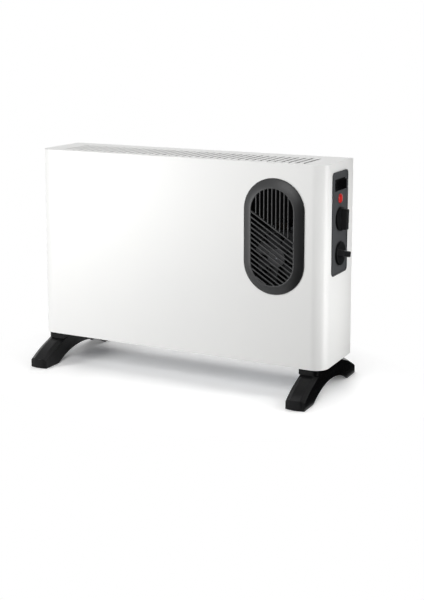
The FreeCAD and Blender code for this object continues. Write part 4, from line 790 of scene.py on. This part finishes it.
# White room: it is seen at full strength, and lights the heater only a little.
ROOM_LIGHT, ROOM_SEEN = 0.12, 1.0
world = bpy.data.worlds.new("white_studio")
bpy.context.scene.world = world
world.use_nodes = True
tree = world.node_tree
tree.nodes.clear()
level = add(tree, "ShaderNodeMapRange", {"To Min": ROOM_LIGHT, "To Max": ROOM_SEEN}, {
    "Value": seen_directly(tree)})
sky = add(tree, "ShaderNodeBackground", {"Color": WHITE}, {"Strength": level.outputs["Result"]})
add(tree, "ShaderNodeOutputWorld", links={"Surface": sky.outputs["Background"]})


def softbox(name, spot, aim, size, watts, mirrored=True):
    """A soft lamp of that width and height in metres, turned to its aim; only reflections may show it."""
    data = bpy.data.lights.new(name, "AREA")
    data.shape, data.energy = "RECTANGLE", watts
    data.size, data.size_y = size
    lamp = bpy.data.objects.new(name, data)
    lamp.location = spot
    lamp.rotation_euler = (Vector(aim) - Vector(spot)).to_track_quat("-Z", "Y").to_euler()
    lamp.visible_camera = False
    lamp.visible_glossy = mirrored
    bpy.context.scene.collection.objects.link(lamp)


softbox("left_key", spot=(-0.775, -1.02, 0.21), aim=(-0.1, -0.06, 0.22), size=(0.4, 0.4), watts=9.5)
softbox("front_top_fill", spot=(0.33, -0.955, 1.0), aim=(0.1, -0.06, 0.22), size=(0.7, 0.7), watts=6.8)
softbox("right_strip", spot=(0.47, -0.02, 0.23), aim=(0.262, -0.03, 0.25), size=(0.05, 0.46), watts=0.67)
softbox("overhead_softbox", spot=(-0.23, 0.28, 1.31), aim=(0.0, 0.0, 0.3), size=(0.9, 0.9), watts=4.7)
softbox("rear_softbox", spot=(-1.2, 2.36, 0.21), aim=(0.0, 0.06, 0.22), size=(1.0, 0.4), watts=51.0,
        mirrored=False)

# Black flag: a velvet card on the right, folded along the floor, that only reflections show.
# It keeps the black plastic black on that side, as it would in a studio.
velvet = grained_finish("black_velvet", "020202", "040404", roughness=(0.95, 1.0), grain_mm=2.0,
                        depth_mm=0.1, specular=0.0)
FLAG_FRONT, FLAG_REAR, FLAG_TOP = -1.2, 1.3, 0.6
FLAG_NEAR, FLAG_FAR, FLAG_LIFT = 0.256, 0.56, 0.0002
flag_fold = ((FLAG_NEAR, FLAG_LIFT), (FLAG_FAR, FLAG_LIFT), (FLAG_FAR, FLAG_TOP))
flag_corners = [(x, y, z) for x, z in flag_fold for y in (FLAG_FRONT, FLAG_REAR)]
flag_mesh = bpy.data.meshes.new("black_flag")
flag_mesh.from_pydata(flag_corners, [], [(0, 1, 3, 2), (2, 3, 5, 4)])
flag_mesh.materials.append(velvet)
flag = link_mesh("black_flag", flag_mesh)
flag.visible_camera = flag.visible_diffuse = flag.visible_shadow = flag.visible_transmission = False
flag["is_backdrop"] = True

# Camera: fitted to the heater's edges in the photo, whose height and focal length are in its pixels.
PHOTO_HEIGHT, PHOTO_FOCUS, PHOTO_SHIFT = 600, 1120.5, (-0.0092, -0.2)
CAMERA_SPOT, CAMERA_DOWN, CAMERA_TURN = (0.8936, -1.6684, 0.5954), 7.85, 27.01
SENSOR = 36.0
camera_data = bpy.data.cameras.new("photo_camera")
camera_data.sensor_width = SENSOR
camera_data.lens = PHOTO_FOCUS * SENSOR / PHOTO_HEIGHT
camera_data.shift_x, camera_data.shift_y = PHOTO_SHIFT
camera = bpy.data.objects.new("photo_camera", camera_data)
camera.location = CAMERA_SPOT
camera.rotation_euler = (math.radians(90 - CAMERA_DOWN), 0.0, math.radians(CAMERA_TURN))
bpy.context.scene.collection.objects.link(camera)
bpy.context.scene.camera = camera
bpy.context.scene.view_settings.view_transform = "Standard"

low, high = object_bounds()
